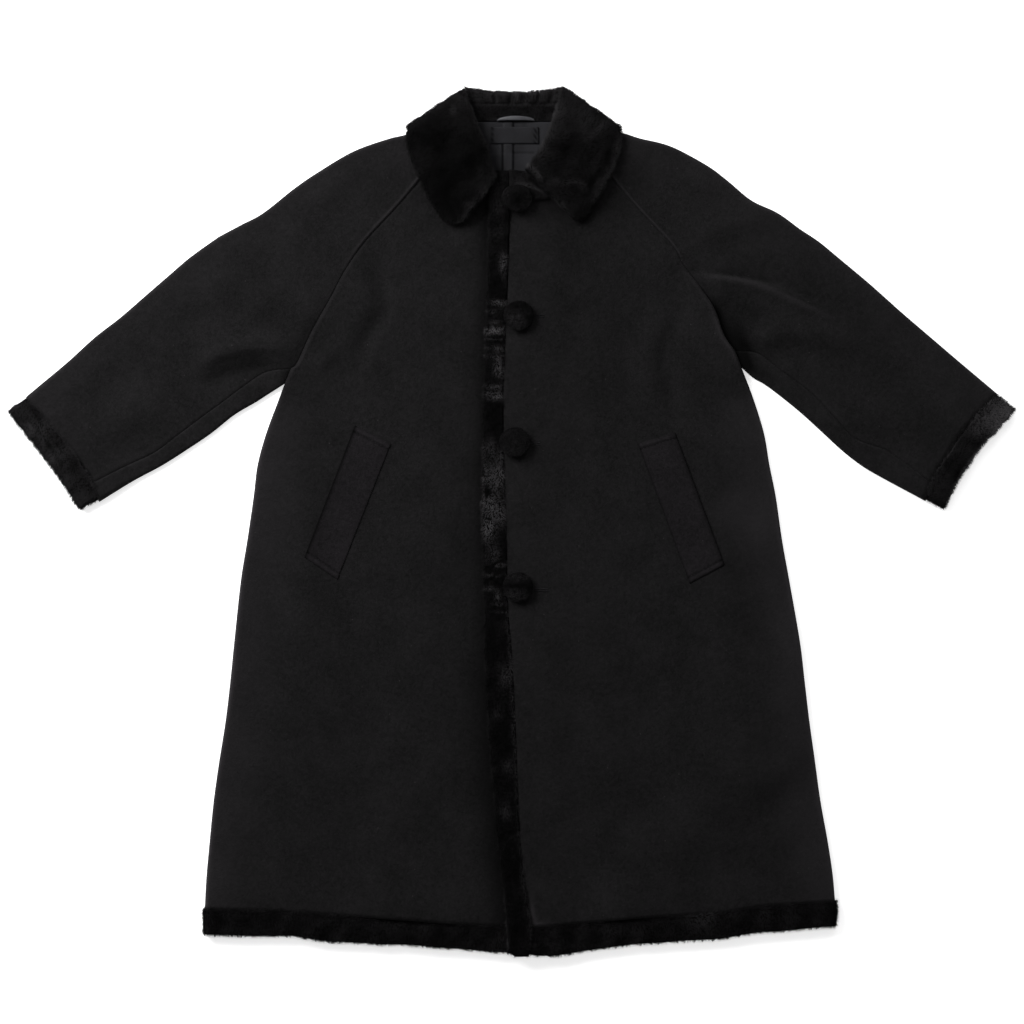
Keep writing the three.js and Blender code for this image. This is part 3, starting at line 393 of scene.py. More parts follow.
def panel(left, right, bow, hang, across, rollLeft, rollRight, face, lift=lambda x: 0 * x,
          seamLeft=(0.0, 0.0), seamRight=(0.0, 0.0), rimHighlight=1.0):
    # Rows run from one edge to the other. A rolled edge is a quarter turn of radius half the stack, where the
    # panel meets the other layer. A sewn edge ends half a seam short and rounds down into its seam. A seam's
    # pair is the height of its lip, the ridge of the allowance below it, and the depth of the broad hollow
    # beside it, each one number or one for each row. bow bends the first row and hang the last. The third
    # array it gives is painted light and shade: a painted highlight on a seam's lip, painted shade in its
    # hollow, and a painted highlight along a rolled edge, as strong as the last argument says.
    rows = len(left)
    place = np.linspace(0, 1, rows)[:, None]
    bend, fall = (1 - place) ** 4, place**4
    width = np.hypot(*(right - left).T)[:, None]

    def at(distance):
        u = distance / width
        x, y = mix(left[:, :1], right[:, :1], u), mix(left[:, 1:], right[:, 1:], u)
        bx, by = bow(u)
        hx, hy = hang(u)
        return x + bx * bend + hx * fall, y + by * bend + hy * fall

    def stack(edge):
        x, y = edge[:, :1], edge[:, 1:]
        return frontTop(x, y) + lift(x) - backBottom(x, y)

    radii = [stack(left) / 2, stack(right) / 2]
    rolls = [rollLeft[:, None], rollRight[:, None]]
    even = np.linspace(0, 1, across + 1)[1:-1]
    even = mix(even, 0.5 - 0.5 * np.cos(np.pi * even), 0.35)[None, :]
    blocks = []
    for end, arcs in ((0, arcSteps[None, :]), (1, arcSteps[None, ::-1])):
        radius, roll, angle = radii[end], rolls[end], arcs * quarter
        short = cloth["seam"] / 2 * (1 - roll) * (1 - np.sin(angle))
        outReach = radius * (1 - np.cos(angle)) + short
        inReach = mix(outReach, radius - (radius - cloth["wall"]) * np.cos(angle), roll)
        drop = roll * (radius - cloth["seam"] / 2) * (1 - np.sin(angle))
        turn = (radius - cloth["wall"]) * np.sin(angle) + cloth["seam"] / 2 * (1 - np.sin(angle))
        if end:
            outReach, inReach = width - outReach, width - inReach
        blocks.append((outReach, inReach, drop, radius + 0 * angle, turn, roll + 0 * angle))
    middle = mix(radii[0], width - radii[1], even)
    blocks.insert(1, (middle, middle, 0 * middle, 0 * middle, 0 * middle, 0 * middle))
    outReach, inReach, drop, radius, turn, roll = (np.concatenate(parts, 1) for parts in zip(*blocks))
    (ox, oy), (ix, iy) = at(outReach), at(inReach)
    ground = backBottom(ix, iy)
    paintedShading = 0 * ox
    if face > 0:
        paintedShading = paintedShadingAt(ox, oy)
        oz = frontTop(ox, oy) + lift(ox) - drop + 0.07 * sway(feltSway, ox, oy)
        iz = mix(frontBottom(ix, iy) + lift(ix), ground + radius + turn, roll)
        for away, inAway, rolled, seam in ((outReach, inReach, rolls[0], seamLeft),
                                           (width - outReach, width - inReach, rolls[1], seamRight)):
            lip, hollow = (np.broadcast_to(part, rows)[:, None] for part in seam)
            dip = -seamDip["depth"] * bell(away, seamDip["width"])
            ridge = lip * bell(away - 4, 2.4)
            oz = oz + (1 - rolled) * (dip + ridge - hollow * bell(away, 13))
            iz = iz - (1 - rolled) * hollow * bell(inAway, 13)
            # Painted highlight on a seam's lip and painted shade in its hollow, and a painted highlight along
            # a rolled edge
            paintedSeamShading = 0.26 * lip * bell(away - 3.4, 1.9) - 0.12 * hollow * bell(away, 12)
            paintedRimHighlight = rimHighlight * (0.7 * bell(away, 4) + 0.25 * bell(away, 45))
            paintedShading = paintedShading + (1 - rolled) * paintedSeamShading + rolled * paintedRimHighlight
    else:
        inside = (1 - bell(outReach, 20)) * (1 - bell(width - outReach, 20))
        oz = backBottom(ox, oy) + drop + inside * backCrease(ox, oy)
        iz = mix(ground + cloth["wall"], ground + radius - turn, roll) + inside * backCrease(ix, iy)
    return np.stack([ox, oy, oz], -1), np.stack([ix, iy, iz], -1), paintedShading


def noBend(u):
    return 0, 0


raglanFine, sideFine, armFine = 8, 7, 8  # fine rows for each row of the tables


def twoPart(first, second, stepsFirst, stepsSecond):
    # A corner stays where the raglan seam ends: two smooth curves that share that point
    a = curve(first, np.linspace(0, len(first) - 1, (len(first) - 1) * stepsFirst + 1))
    joinedRows = np.concatenate([first[-1:], second])
    b = curve(joinedRows, np.linspace(0, len(second), len(second) * stepsSecond + 1))
    return np.concatenate([a, b[1:]])


raglanCount = (raglanRows - 1) * raglanFine + 1
leftBody = twoPart(sleeveRight[:raglanRows, 2:4], sides[:, 0:2], raglanFine, sideFine)
rightBody = twoPart(sleeveLeft[:raglanRows, 2:4], sides[:, 2:4], raglanFine, sideFine)
bodyRoll = smooth(raglanCount + sideFine - 1, raglanCount + 3 * sideFine, np.arange(len(leftBody)))
notRolled = 0 * bodyRoll


def alongRaglan(count, heights):  # heights at the rows of a table's raglan part, and the last one kept after
    return np.interp(np.arange(count) / raglanFine, np.arange(len(heights)), heights)


bodySeam = (alongRaglan(len(leftBody), [0, 0, 0, 0, 0.1, 0.3, 0.4, 0.6, 0.8, 0.7, 0.3, 0]), 0.0)


def hangFrom(start, finish):  # carries the straight end of a panel onto the hem band's upper edge
    def offset(u):
        x, y = mix(start[0], finish[0], u), mix(start[1], finish[1], u)
        return 0, hemTop(x) + cloth["bandSeam"] - y
    return offset


def centreEdge(outerEdge, topY, bottomY, xAt):  # inner edge of a front, its rows spaced like the outer edge's
    y = mix(topY, bottomY, (outerEdge[0, 1] - outerEdge[:, 1]) / (outerEdge[0, 1] - outerEdge[-1, 1]))
    return np.stack([xAt(y), y], -1)


def neckBow(depth):  # a neckline that sags by depth in its middle, as a parabola
    return lambda u: (0, -depth * 4 * u * (1 - u))


everySecond = np.append(np.arange(0, len(leftBody) - 1, 2), len(leftBody) - 1)  # and the last
back = panel(
    leftBody[everySecond], rightBody[everySecond],
    bow=lambda u: (0, (neckSeamY - cloth["seam"] - leftBody[0, 1]) * (1 - np.abs(2 * u - 1) ** 5)),
    hang=hangFrom(leftBody[-1], rightBody[-1]), across=56,
    rollLeft=bodyRoll[everySecond], rollRight=bodyRoll[everySecond],
    face=-1,
)
centreRight = centreEdge(leftBody, 419, hemTop(underEdgeX), lambda y: underEdgeX + 0 * y)
frontRight = panel(
    leftBody, centreRight, bow=neckBow(15), hang=hangFrom(leftBody[-1], centreRight[-1]), across=68,
    rollLeft=bodyRoll, rollRight=notRolled, face=1, seamLeft=bodySeam,
)
centreLeft = centreEdge(rightBody, 428, hemTop(26.0), lambda y: lookUp(bandEdge, y, 2) - 1.1)
frontLeft = panel(
    centreLeft, rightBody, bow=neckBow(17), hang=hangFrom(centreLeft[-1], rightBody[-1]), across=68,
    rollLeft=notRolled, rollRight=bodyRoll, face=1, lift=overLift, seamRight=bodySeam,
)


def cuffEnd(sleeve, cuff, column):  # a sleeve's end, tucked under the cuff band, further at its lower side
    tuck = cloth["bandSeam"] if column == 0 else 2 * cloth["bandSeam"]
    return sleeve[-1, column:column + 2] + (-0.8 * np.sign(cuff[0, 0]) * tuck, 0.6 * tuck)


def cuffCurve(cuff, finish):  # carries the straight end of a sleeve piece onto the cuff's curved edge
    reach = abs(finish[1] - cuff[0, 1]) / abs(cuff[-1, 1] - cuff[0, 1])
    ends = curve(cuff, np.array([0, reach * (len(cuff) - 1)]))

    def offset(u):
        row = curve(cuff, np.clip(u * reach, 0, 1) * (len(cuff) - 1))
        return row[..., 0] - mix(ends[0, 0], ends[1, 0], u), row[..., 1] - mix(ends[0, 1], ends[1, 1], u)
    return offset


def armEdge(sleeve, cuff, column):  # one edge of a sleeve, with a corner where the raglan ends
    rows = sleeve[:, column:column + 2].copy()
    rows[-1] = cuffEnd(sleeve, cuff, column)
    return twoPart(rows[:raglanRows], rows[raglanRows:], raglanFine, armFine)


def sleeveFront(sleeve, cuff):
    # From the rolled edge over the arm to the seam in front. The seam's lip fades out halfway down the
    # raglan, and its hollow is deepest where the raglan ends
    over, under = armEdge(sleeve, cuff, 0), armEdge(sleeve, cuff, 2)
    roll = np.ones(len(over))
    lip = alongRaglan(len(over), [1.3, 1.3, 1.4, 1.4, 1.2, 0.2, 0, 0, 0, 0, 0.2])
    deep = 5.5 if cuff[0, 0] > 0 else 3.2
    hollow = deep * alongRaglan(len(over), [0, 0, 0, 0, 0, 0.1, 0.3, 0.7, 1, 1, 0.5, 0.1, 0])
    return panel(over, under, noBend, cuffCurve(cuff, under[-1]), 70, roll, 0 * roll, 1,
                 seamRight=(lip, hollow), rimHighlight=0.4)


def inward(rows):  # from a sleeve's folded edge straight toward its seam
    d = rows[:, 2:4] - rows[:, 4:6]
    return d / np.hypot(*d.T)[:, None]


def sleeveBehind(sleeve, cuff):  # the flat part of a sleeve's back
    over = armEdge(sleeve, cuff, 0)
    arm = sleeve[raglanRows - 1:].copy()
    arm[-1, 4:6] = cuffEnd(sleeve, cuff, 4)
    armFineRows = curve(arm, np.linspace(0, len(arm) - 1, (len(arm) - 1) * armFine + 1))
    lap = armFineRows[:, 4:6] + inward(armFineRows) * 10
    raglanPart = armEdge(sleeve, cuff, 2)[:raglanCount]
    shift = smooth(0, armFine, np.arange(len(lap)))[:, None]
    lap = mix(raglanPart[-1], lap, shift)
    under = np.concatenate([raglanPart[:-1], lap])
    roll = np.ones(len(over))
    return panel(over, under, noBend, cuffCurve(cuff, under[-1]), 20, roll, 0 * roll, -1)


def sleeveWrap(sleeve, cuff):
    # The rolled part of a sleeve's back: flat behind, a half turn round the arm's lower edge, then on to the
    # seam
    arm = sleeve[raglanRows - 1:].copy()
    arm[-1, 4:6] = cuffEnd(sleeve, cuff, 4)
    rows = curve(arm, np.linspace(0.03, len(arm) - 1, (len(arm) - 1) * armFine + 1))
    rows[:, 2:4] = np.concatenate([rows[:1, 2:4], armEdge(sleeve, cuff, 2)[raglanCount:]])
    rows[0] = mix(rows[1], rows[0], 1.8)  # begins under the edge of the body
    sunk = alongRaglan(len(rows), [3.0, 1.2, 0.3, 0])[:, None]
    direction = inward(rows)
    edge = rows[:, None, 4:6]
    depth = np.hypot(*(rows[:, 2:4] - rows[:, 4:6]).T)[:, None] - cloth["seam"] / 2
    ground = backBottom(rows[:, 4], rows[:, 5])[:, None]
    radius = (frontTop(rows[:, 4], rows[:, 5])[:, None] - ground) / 2
    angle = np.linspace(-quarter, quarter, 15)[None, :]
    share = np.linspace(0, 1, 9)[None, 1:]
    layers = []
    for shrink, top in ((0, frontTop), (cloth["wall"], frontBottom)):
        r = radius - shrink
        flat = mix(radius, depth, share)
        reach = np.concatenate([np.full_like(radius, 20), radius - r * np.cos(angle), flat], 1)
        spot = edge + direction[:, None, :] * reach[..., None]
        z = top(spot[..., 0], spot[..., 1])
        count = angle.shape[1]
        z[:, :1] = ground + shrink
        z[:, 1:1 + count] = ground + radius + r * np.sin(angle)
        z[:, 1 + count:] -= sunk
        z[:, 1 + count // 2:1 + count] -= sunk * np.sin(np.maximum(angle[:, count // 2:], 0))
        if not shrink:
            z[:, 1 + count:] -= seamDip["depth"] * bell(depth - flat, seamDip["width"])
        layers.append(np.concatenate([spot, z[..., None]], -1))
    return layers


# Fur is a closed skin, and a pile of short tapered strands that stand on it. These make both uneven
tuftSway = swayField(40, 7, 22, 1.0, 41)
clumpSway = swayField(36, 9, 40, 1.0, 43)
leanSway = swayField(30, 12, 55, 1.0, 47)


def unit(vectors):
    return vectors / np.maximum(np.linalg.norm(vectors, axis=-1, keepdims=True), 1e-9)


def gridNormal(points, looped=False):  # cross product of the two directions in which a grid runs
    down = np.roll(points, -1, 0) - np.roll(points, 1, 0) if looped else np.gradient(points, axis=0)
    return unit(np.cross(down, np.gradient(points, axis=1)))


def edgeRounding(points, axis, radius):  # 1 inside, and falling to 0.12 as a quarter circle at an edge
    step = np.linalg.norm(np.diff(points, axis=axis), axis=-1)
    start = np.zeros_like(np.take(points[..., 0], [0], axis))
    run = np.concatenate([start, np.cumsum(step, axis)], axis)
    away = np.minimum(run, np.take(run, [-1], axis) - run)
    return np.maximum(np.sqrt(1 - (1 - np.clip(away / radius, 0, 1)) ** 2), 0.12)


def furSkin(middle, thick, looped=False, roundEnds=True):
    # Sheet of even thickness about a grid of middle points, rounded at its edges and slightly tufted
    normal = gridNormal(middle, looped)
    normal = normal * np.sign(normal[0, middle.shape[1] // 2, 2])  # every skin starts on its upper side
    half = thick / 2 * edgeRounding(middle, 1, thick / 2)
    if roundEnds and not looped:
        half = np.minimum(half, thick / 2 * edgeRounding(middle, 0, thick / 2))
    tuft = 0.22 * sway(tuftSway, middle[..., 0], middle[..., 1])
    return middle + normal * (half + tuft)[..., None], middle - normal * half[..., None], normal


def bandPlaces(count, edge=0.12, inset=0.035):  # places across a band, close together at its edges
    t = np.linspace(0, 1, count)
    return inset + (1 - 2 * inset) * (t - edge * np.sin(2 * np.pi * t))


def scatter(points, normals, count, looped=False, keep=None):
    # Random places on a grid, as many on each cell as its area asks, with the normal there
    if looped:
        points, normals = (np.concatenate([net, net[:1]]) for net in (points, normals))
    a, b, c, d = points[:-1, :-1], points[1:, :-1], points[1:, 1:], points[:-1, 1:]
    area = np.linalg.norm(np.cross(c - a, d - b), axis=-1)
    if keep is not None:
        area = area * keep((a + c) / 2)
    chosen = dice.choice(area.size, count, p=(area / area.sum()).ravel())
    i, j = np.unravel_index(chosen, area.shape)
    s, t = dice.random((2, count, 1))

    def pick(net):
        return mix(mix(net[i, j], net[i + 1, j], s), mix(net[i, j + 1], net[i + 1, j + 1], s), t)
    return pick(points), unit(pick(normals))


def pile(roots, normals, flow, look, patches=(), streaks=()):
    # Strands: slim three-sided spikes. Each leans from its normal along the flow, turned and raised from
    # place to place by two wave fields, so that they lie in clumps. Their colour mark is a random tone with
    # painted sheen and painted shade added in patches, bells about a point, and in streaks, bells about a
    # line as the folds are.
    count = len(roots)
    x, y = roots[:, 0], roots[:, 1]
    turn = look["swirl"] * sway(clumpSway, x, y) + 0.18 * dice.standard_normal(count)
    fx, fy = flow(x, y)
    lie = np.stack([fx * np.cos(turn) - fy * np.sin(turn), fx * np.sin(turn) + fy * np.cos(turn), 0 * x], 1)
    lean = np.clip(look["lean"] + 0.22 * sway(leanSway, x, y) + 0.08 * dice.standard_normal(count), 0, 1.2)
    along = unit(lie - normals * np.sum(lie * normals, 1, keepdims=True))
    direction = unit(normals * np.cos(lean)[:, None] + along * np.sin(lean)[:, None])
    sideways = unit(np.cross(direction, normals + 0.4 * dice.standard_normal((count, 3))))
    under = np.cross(direction, sideways)
    length = look["length"] * dice.uniform(0.75, 1.15, count)[:, None]
    half = look["width"] / 2 * dice.uniform(0.7, 1.2, count)[:, None]
    low = roots - 0.4 * normals
    points = np.stack([low - sideways * half, low + sideways * half, low + under * half * 0.8,
                       roots + direction * length], 1).reshape(-1, 3)
    points[:, 2] = np.maximum(points[:, 2], 0.05)  # none passes into the surface that the coat lies on
    first = 4 * np.arange(count)[:, None, None]
    faces = (first + np.array([[0, 1, 3], [1, 2, 3], [2, 0, 3], [0, 2, 1]])).reshape(-1, 3)
    # A random tone, then painted sheen and painted shade in patches and streaks
    shine = look["shine"] + look["mottle"] * (sway(leanSway, x + 31, y) + 0.5 * dice.standard_normal(count))
    for px, py, rx, ry, amount in patches:
        shine = shine + look["patch"] * amount * np.exp(-(((x - px) / rx) ** 2 + ((y - py) / ry) ** 2))
    for streak in streaks:
        shine = shine + foldHeight(streak, x, y)
    marks = {"along": np.tile([0, 0, 0, 1], count), "shine": np.repeat(np.clip(shine, 0, 1), 4)}
    shading = np.repeat(unit(normals - 0.15 * direction), 4, axis=0)  # a leaning hair shows its upper side
    return points, facesOutward(points, faces), marks, shading


# Hem band, from the under front's edge round both sides to the edge band
hemBand = {"step": 7, "overStart": 20, "raise": 4}


def hemMiddle():
    # Flat rows along the right front, behind and along the left front, joined by half circles round both
    # sides. Each row runs from the wool to the free edge, and wavers a little by a wave field
    radius = bandTop / 2
    bend = radius - furBand["thick"] / 2
    leftTurn, rightTurn = hemSide[0] + radius, hemSide[1] - radius

    def run(start, finish):
        return np.linspace(start, finish, int(abs(finish - start) / hemBand["step"]))
    angles = np.linspace(quarter, -quarter, 11)[1:-1]
    under, behind = run(underEdgeX, leftTurn), run(leftTurn, rightTurn)
    over = run(rightTurn, hemBand["overStart"])
    x = np.concatenate([under, leftTurn - bend * np.cos(angles), behind,
                        rightTurn + bend * np.cos(angles[::-1]), over])
    # Low under the edge band's side
    rise = hemBand["raise"] * (1 - smooth(30, 95, over)) * smooth(18, 27, over)
    z = np.concatenate([0 * under + radius + bend, radius + bend * np.sin(angles), 0 * behind + radius - bend,
                        radius + bend * np.sin(angles[::-1]), radius + bend + rise])
    share = bandPlaces(18)
    top, bottom = hemTop(x)[:, None], lookUp(hem, x, 2)[:, None]
    swell = 0.8 * sway(frontSway, x, 0 * x)[:, None] * (share - 0.2) * 2
    y = mix(top, bottom, share[None, :]) + swell
    return np.stack([x[:, None] + 0 * y, y, z[:, None] + 0 * y], -1)


def edgeBandMiddle():
    # Straight rows between the two edges of the band's table, the left one a little wavy, on edgeBandBottom
    rows = 220  # up to the neck, under the collar
    y = np.linspace(bandEdge[0, 0] + 13, bandEdge[-1, 0] + 1.2, rows)[:, None]
    left, right = lookUp(bandEdge, y, 1), lookUp(bandEdge, y, 2)
    waver = 0.9 * sway(clumpSway, 0 * y + 3, y)
    x = mix(left + 0.3 + waver, right - 0.3, bandPlaces(16)[None, :])
    y = y + 6.5 * smooth(-528, -545, y) * smooth(0.42, 0, bandPlaces(16))[None, :]  # rounded lower corner
    return np.stack([x, y, edgeBandBottom(x, y) + furBand["thick"] / 2], -1)


def cuffMiddle(cuff):
    # A closed ring: flat rows in front, a half circle, flat rows behind and a half circle
    radius = bandTop / 2
    bend = radius - furBand["thick"] / 2
    length = np.hypot(*(cuff[-1, :2] - cuff[0, :2]))
    flat = np.linspace(radius, length - radius, 26)
    angles = np.linspace(quarter, -quarter, 9)[1:-1]
    at = np.concatenate([flat, length - radius + bend * np.cos(angles), flat[::-1],
                         radius - bend * np.cos(angles)])
    angle = np.concatenate([0 * flat + quarter, angles, 0 * flat - quarter, angles[::-1]])
    row = curve(cuff, at / length * (len(cuff) - 1))[:, None, :]
    share = bandPlaces(16)[None, :]
    x, y = mix(row[..., 0], row[..., 2], share), mix(row[..., 1], row[..., 3], share)
    return np.stack([x, y, (radius + bend * np.sin(angle))[:, None] + 0 * x], -1)


corner = {"left": -3, "top": (438, 433), "bottom": (411, 405), "right": (42, 47), "sag": 8, "thick": 2.2}


def cornerMiddle():  # fur facing that shows between the edge band, the top button and the left leaf
    u, v = grid(24, 30)
    x = mix(corner["left"], mix(*corner["right"], u), v)
    y = mix(mix(*corner["top"], v), mix(*corner["bottom"], v), u) - corner["sag"] * u * 4 * v * (1 - v)
    return np.stack([x, y, overTop(x, y) + cloth["rest"] + corner["thick"] / 2 + 0.9], -1)


# Collar: two leaves on the fronts, a fold over each shoulder and a fall behind
collarLook = {"across": 30, "rowsEach": 6, "dip": 4}
leafFolds = [
    (2.4, 9, 14, [(40, 470), (66, 478), (96, 486), (118, 484)]),
    (-1.8, 9, 7, [(36, 458), (66, 464), (104, 470)]),
    (1.6, 8, 6, [(34, 428), (60, 422), (88, 420)]),
    (-1.5, 7, 9, [(30, 420), (58, 412), (90, 408)]),
    (1.5, 10, 10, [(-36, 470), (-70, 452), (-104, 428)]),
    (-1.4, 9, 9, [(-34, 440), (-60, 424), (-84, 398)]),
    (1.3, 9, 9, [(-52, 506), (-84, 492), (-116, 470)]),
    (-1.3, 5, 6, [(86, 394), (95, 412), (113, 442), (125, 474), (122, 496)]),
    (1.2, 5, 5, [(96, 390), (103, 402), (121, 430), (131, 458), (134, 486)]),
    (-1.1, 6, 5, [(56, 458), (66, 466), (76, 477), (84, 489), (86, 502)]),
]


def collarMiddle():
    share = np.array([0, 0.07, 0.3, 0.55, 0.8, 0.95, 1])

    def section(rows):
        return mix(rows[:, 0, None], rows[:, 2, None], share), mix(rows[:, 1, None], rows[:, 3, None], share)

    def leaf(rows):
    # Lies on leafBottom, with its edge toward the neck dipped
        x, y = section(rows)
        dip = collarLook["dip"] * smooth(0, 4, np.arange(len(rows)))[:, None] * (1 - smooth(0, 0.1, share))
        return np.stack([x, y, leafBottom(x, y) + furBand["thick"] / 2 - dip], -1)

    def shoulder(line, sign):
    # A half circle that stands on end along the fold line, from the leaf above to the fall below
        dx, dy = line[2:] - line[:2]
        into = np.array([-dy, dx]) * sign / np.hypot(dx, dy)
        toward = (leafRight if sign > 0 else leafLeft)[-1] - line  # each end keeps to the collar's outline
        along = np.concatenate([toward[:2] / (toward[:2] @ into), toward[2:] / (toward[2:] @ into)])
        cx, cy = (line[:2] + line[2:]) / 2
        high = float(leafBottom(np.array(cx), np.array(cy))) + furBand["thick"] / 2
        centre, radius = (high + furBand["thick"] / 2) / 2, (high - furBand["thick"] / 2) / 2
        angle = np.array([1, 0.6, 0.3, 0, -0.3, -0.6, -1]) * quarter
        shift = radius + furBand["thick"] / 2 - radius * np.cos(angle)
        rows = line[None, :] + along[None, :] * shift[:, None]
        x, y = section(rows)
        return np.stack([x, y, (centre + radius * np.sin(angle))[:, None] + 0 * x], -1)

    x, y = section(fallBack)
    behind = np.stack([x, y, 0 * x + furBand["thick"] / 2], -1)
    rows = np.concatenate([leaf(leafRight), shoulder(foldRight, 1), behind,
                           shoulder(foldLeft, -1)[::-1], leaf(leafLeft)[::-1]])
    fine = curve(rows, np.linspace(0, len(rows) - 1, (len(rows) - 1) * collarLook["rowsEach"] + 1))
    places = bandPlaces(collarLook["across"], 0.1, 0.012)
    at = np.interp(places, share, np.arange(len(share)))
    middle = curve(fine.transpose(1, 0, 2), at).transpose(1, 0, 2)
    inFront = smooth(9, 14, middle[..., 2])
    for fold in leafFolds:
        middle[..., 2] += inFront * foldHeight(fold, middle[..., 0], middle[..., 1])
    return middle


# Stand: up from the neck seam over the fall, drawn into gathers, and rolled back down behind
stand = {"centre": 3, "seamY": neckSeamY, "rollY": 536, "rollRise": 6, "halfLow": 48, "halfHigh": 61,
         "thick": 5.5, "roll": 7, "bandY": 520}
# Troughs between the gathers: x, width, depth
standTroughs = [(-43, 4, 1.6), (-18.9, 2.6, 2.6), (-0.6, 2.6, 2.2), (16.4, 5, 2.6), (32.3, 2.6, 2.4),
                (48, 4, 2.6)]


def standShell():
    # A flat sheet, thicker toward its top, that then turns half round as an ellipse. The trough beside each
    # gather is a bell across the stand, less deep as the roll goes behind
    side = np.linspace(-1, 1, 127)[:, None]
    roll = stand["rollY"] + stand["rollRise"] * side**2
    wave = 0
    for tx, width, depth in standTroughs:
        wave = wave + depth * bell(stand["centre"] + 56 * side - tx, width)
    base = furBand["thick"] + cloth["rest"]
    topZ = base + 1 + stand["thick"]
    up = np.linspace(0, 1, 34)[None, :]
    y = mix(stand["seamY"] + cloth["seam"], roll - stand["roll"], up)
    z = base + smooth(0.2, 1, up) + 0 * y
    thick = mix(1.6, stand["thick"], smooth(-0.1, 0.75, up))  # the lower band slopes up from the neck seam
    gather = smooth(stand["bandY"] - 2, stand["bandY"] + 5, y)
    groove = 1.3 * bell(y - stand["bandY"], 1.3)
    outer, inner = [(y, z + thick - wave * gather - groove)], [(y, z)]
    thin = min(topZ / 2 - 0.8, stand["thick"])
    for turn in np.linspace(0.9, -1, 14):
        c, s = np.cos(turn * quarter), np.sin(turn * quarter)
        dent = wave * (1 + turn) / 2
        outer.append((roll - stand["roll"] + (stand["roll"] - 0.6 * dent) * c,
                      topZ / 2 + (topZ / 2) * s - 0.9 * dent * max(s, 0)))
        inner.append((roll - stand["roll"] + (stand["roll"] - thin) * c,
                      topZ / 2 + (topZ / 2 - thin) * s + 0 * roll))
    layers = []
    for parts in (outer, inner):
        ys, zs = (np.concatenate([part[k] for part in parts], 1) for k in (0, 1))
        half = mix(stand["halfLow"], stand["halfHigh"], smooth(stand["seamY"], stand["rollY"], ys))
        layers.append(np.stack([stand["centre"] + half * side, ys, zs], -1))
    return layers


# Small pieces in the neck, the pocket welts and the buttons
lining = {"left": -52, "right": 58, "top": 498.5, "bottom": 424, "thick": 0.9,
          "pleat": (-10, 2.5), "pleatRise": 0.8, "facingY": 459, "facingRise": 0.5}
label = {"left": -26, "right": 34, "top": 492, "bottom": 471, "thick": 0.45}
loop = {"left": -18, "right": 29, "top": 505.8, "width": 5.8, "thick": 1.2, "arch": 2}
welts = {
    "right": {"corners": ((-196, 119), (-151, 96), (-259, -46), (-218, -74)), "open": 0,
              "openShade": 0.9, "sewnShade": 0.0},
    "left": {"corners": ((158, 96), (204, 110), (223, -79), (266, -56)), "open": 1,
             "openShade": 0.5, "sewnShade": 0.7},
}
weltLook = {"thick": 1.1, "openRise": 0.4, "edge": 3.2, "stitchIn": 7.6, "stitch": 2.6, "gap": 1.6}
button = {"radius": 19.5, "height": 7.2, "rim": 4.9, "pile": 1.1,
          "centres": ((7, 400), (9, 256), (4, 98), (8, -83)),
          "length": (0.9, 1, 1, 1), "up": (2.8, 0, 0, 0)}


def onBack(x, y):
    return backBottom(x, y) + cloth["wall"] + cloth["seam"]


def liningRelief(x, y):  # a pleat down the middle of the back, and the facing's edge across it
    pleat = smooth(lining["pleat"][0], lining["pleat"][0] + 1.6, x)
    pleat = pleat - smooth(lining["pleat"][1] - 1.6, lining["pleat"][1], x)
    facing = 1 - smooth(lining["facingY"] - 1.5, lining["facingY"], y)
    return lining["pleatRise"] * pleat + lining["facingRise"] * facing + 0.12 * sway(tuftSway, x, 0.3 * y)


def layer(x, y, under, thick):  # thin piece on a surface, its top rounded down at its edges
    shape = np.minimum(edgeRounding(np.stack([x, y, 0 * x], -1), 0, thick),
                       edgeRounding(np.stack([x, y, 0 * x], -1), 1, thick))
    return np.stack([x, y, under + thick * np.maximum(shape, 0.3)], -1), np.stack([x, y, under], -1)


def rectangle(piece, rows, columns):
    u, v = grid(rows, columns)
    return mix(piece["left"], piece["right"], v), mix(piece["top"], piece["bottom"], u)


def weltShell(welt, surface):
    # Each end has a raised ridge between its edge and a stitched groove; both long edges lie in a crease
    v, u = grid(84, 28)
    v, u = v - 0.1 * np.sin(2 * np.pi * v), u - 0.09 * np.sin(2 * np.pi * u)
    a, b, c, d = (np.array(spot, float) for spot in welt["corners"])
    spot = mix(mix(a, b, u[..., None]), mix(c, d, u[..., None]), v[..., None])
    x, y = spot[..., 0], spot[..., 1]
    fromOpen = np.hypot(*(b - a)) * (u if welt["open"] == 0 else 1 - u)
    fromSewn = np.hypot(*(b - a)) - fromOpen
    fromEnd = np.minimum(v, 1 - v) * np.hypot(*(c - a))
    ridge = bell(fromEnd - 3.8, 2.4)
    groove = bell(fromEnd - weltLook["stitchIn"], 1.3)
    lift = weltLook["openRise"] * smooth(20, 0, fromOpen) * smooth(4, 30, fromEnd)
    under = surface(x, y) + cloth["seam"] + lift
    sewn = mix(0.5, 1, np.sqrt(np.clip(fromSewn / weltLook["edge"], 0, 1)))
    shape = np.minimum(np.maximum(edgeRounding(spot, 0, weltLook["edge"]), 0.25), sewn)
    top = under + weltLook["thick"] * shape + 0.4 * ridge - 0.5 * groove
    top = top + 0.06 * sway(feltSway, x, y)
    # Painted shade along the open and sewn edges, at both ends and in the stitched groove; painted highlight
    # on the ridges
    paintedShading = (-welt["openShade"] * bell(fromOpen, 3.4) - 0.4 * bell(fromEnd, 1.3)
           - welt["sewnShade"] * bell(fromSewn, 1.5) + 0.1 * ridge - 0.5 * groove)
    return np.stack([x, y, top], -1), np.stack([x, y, under], -1), paintedShading


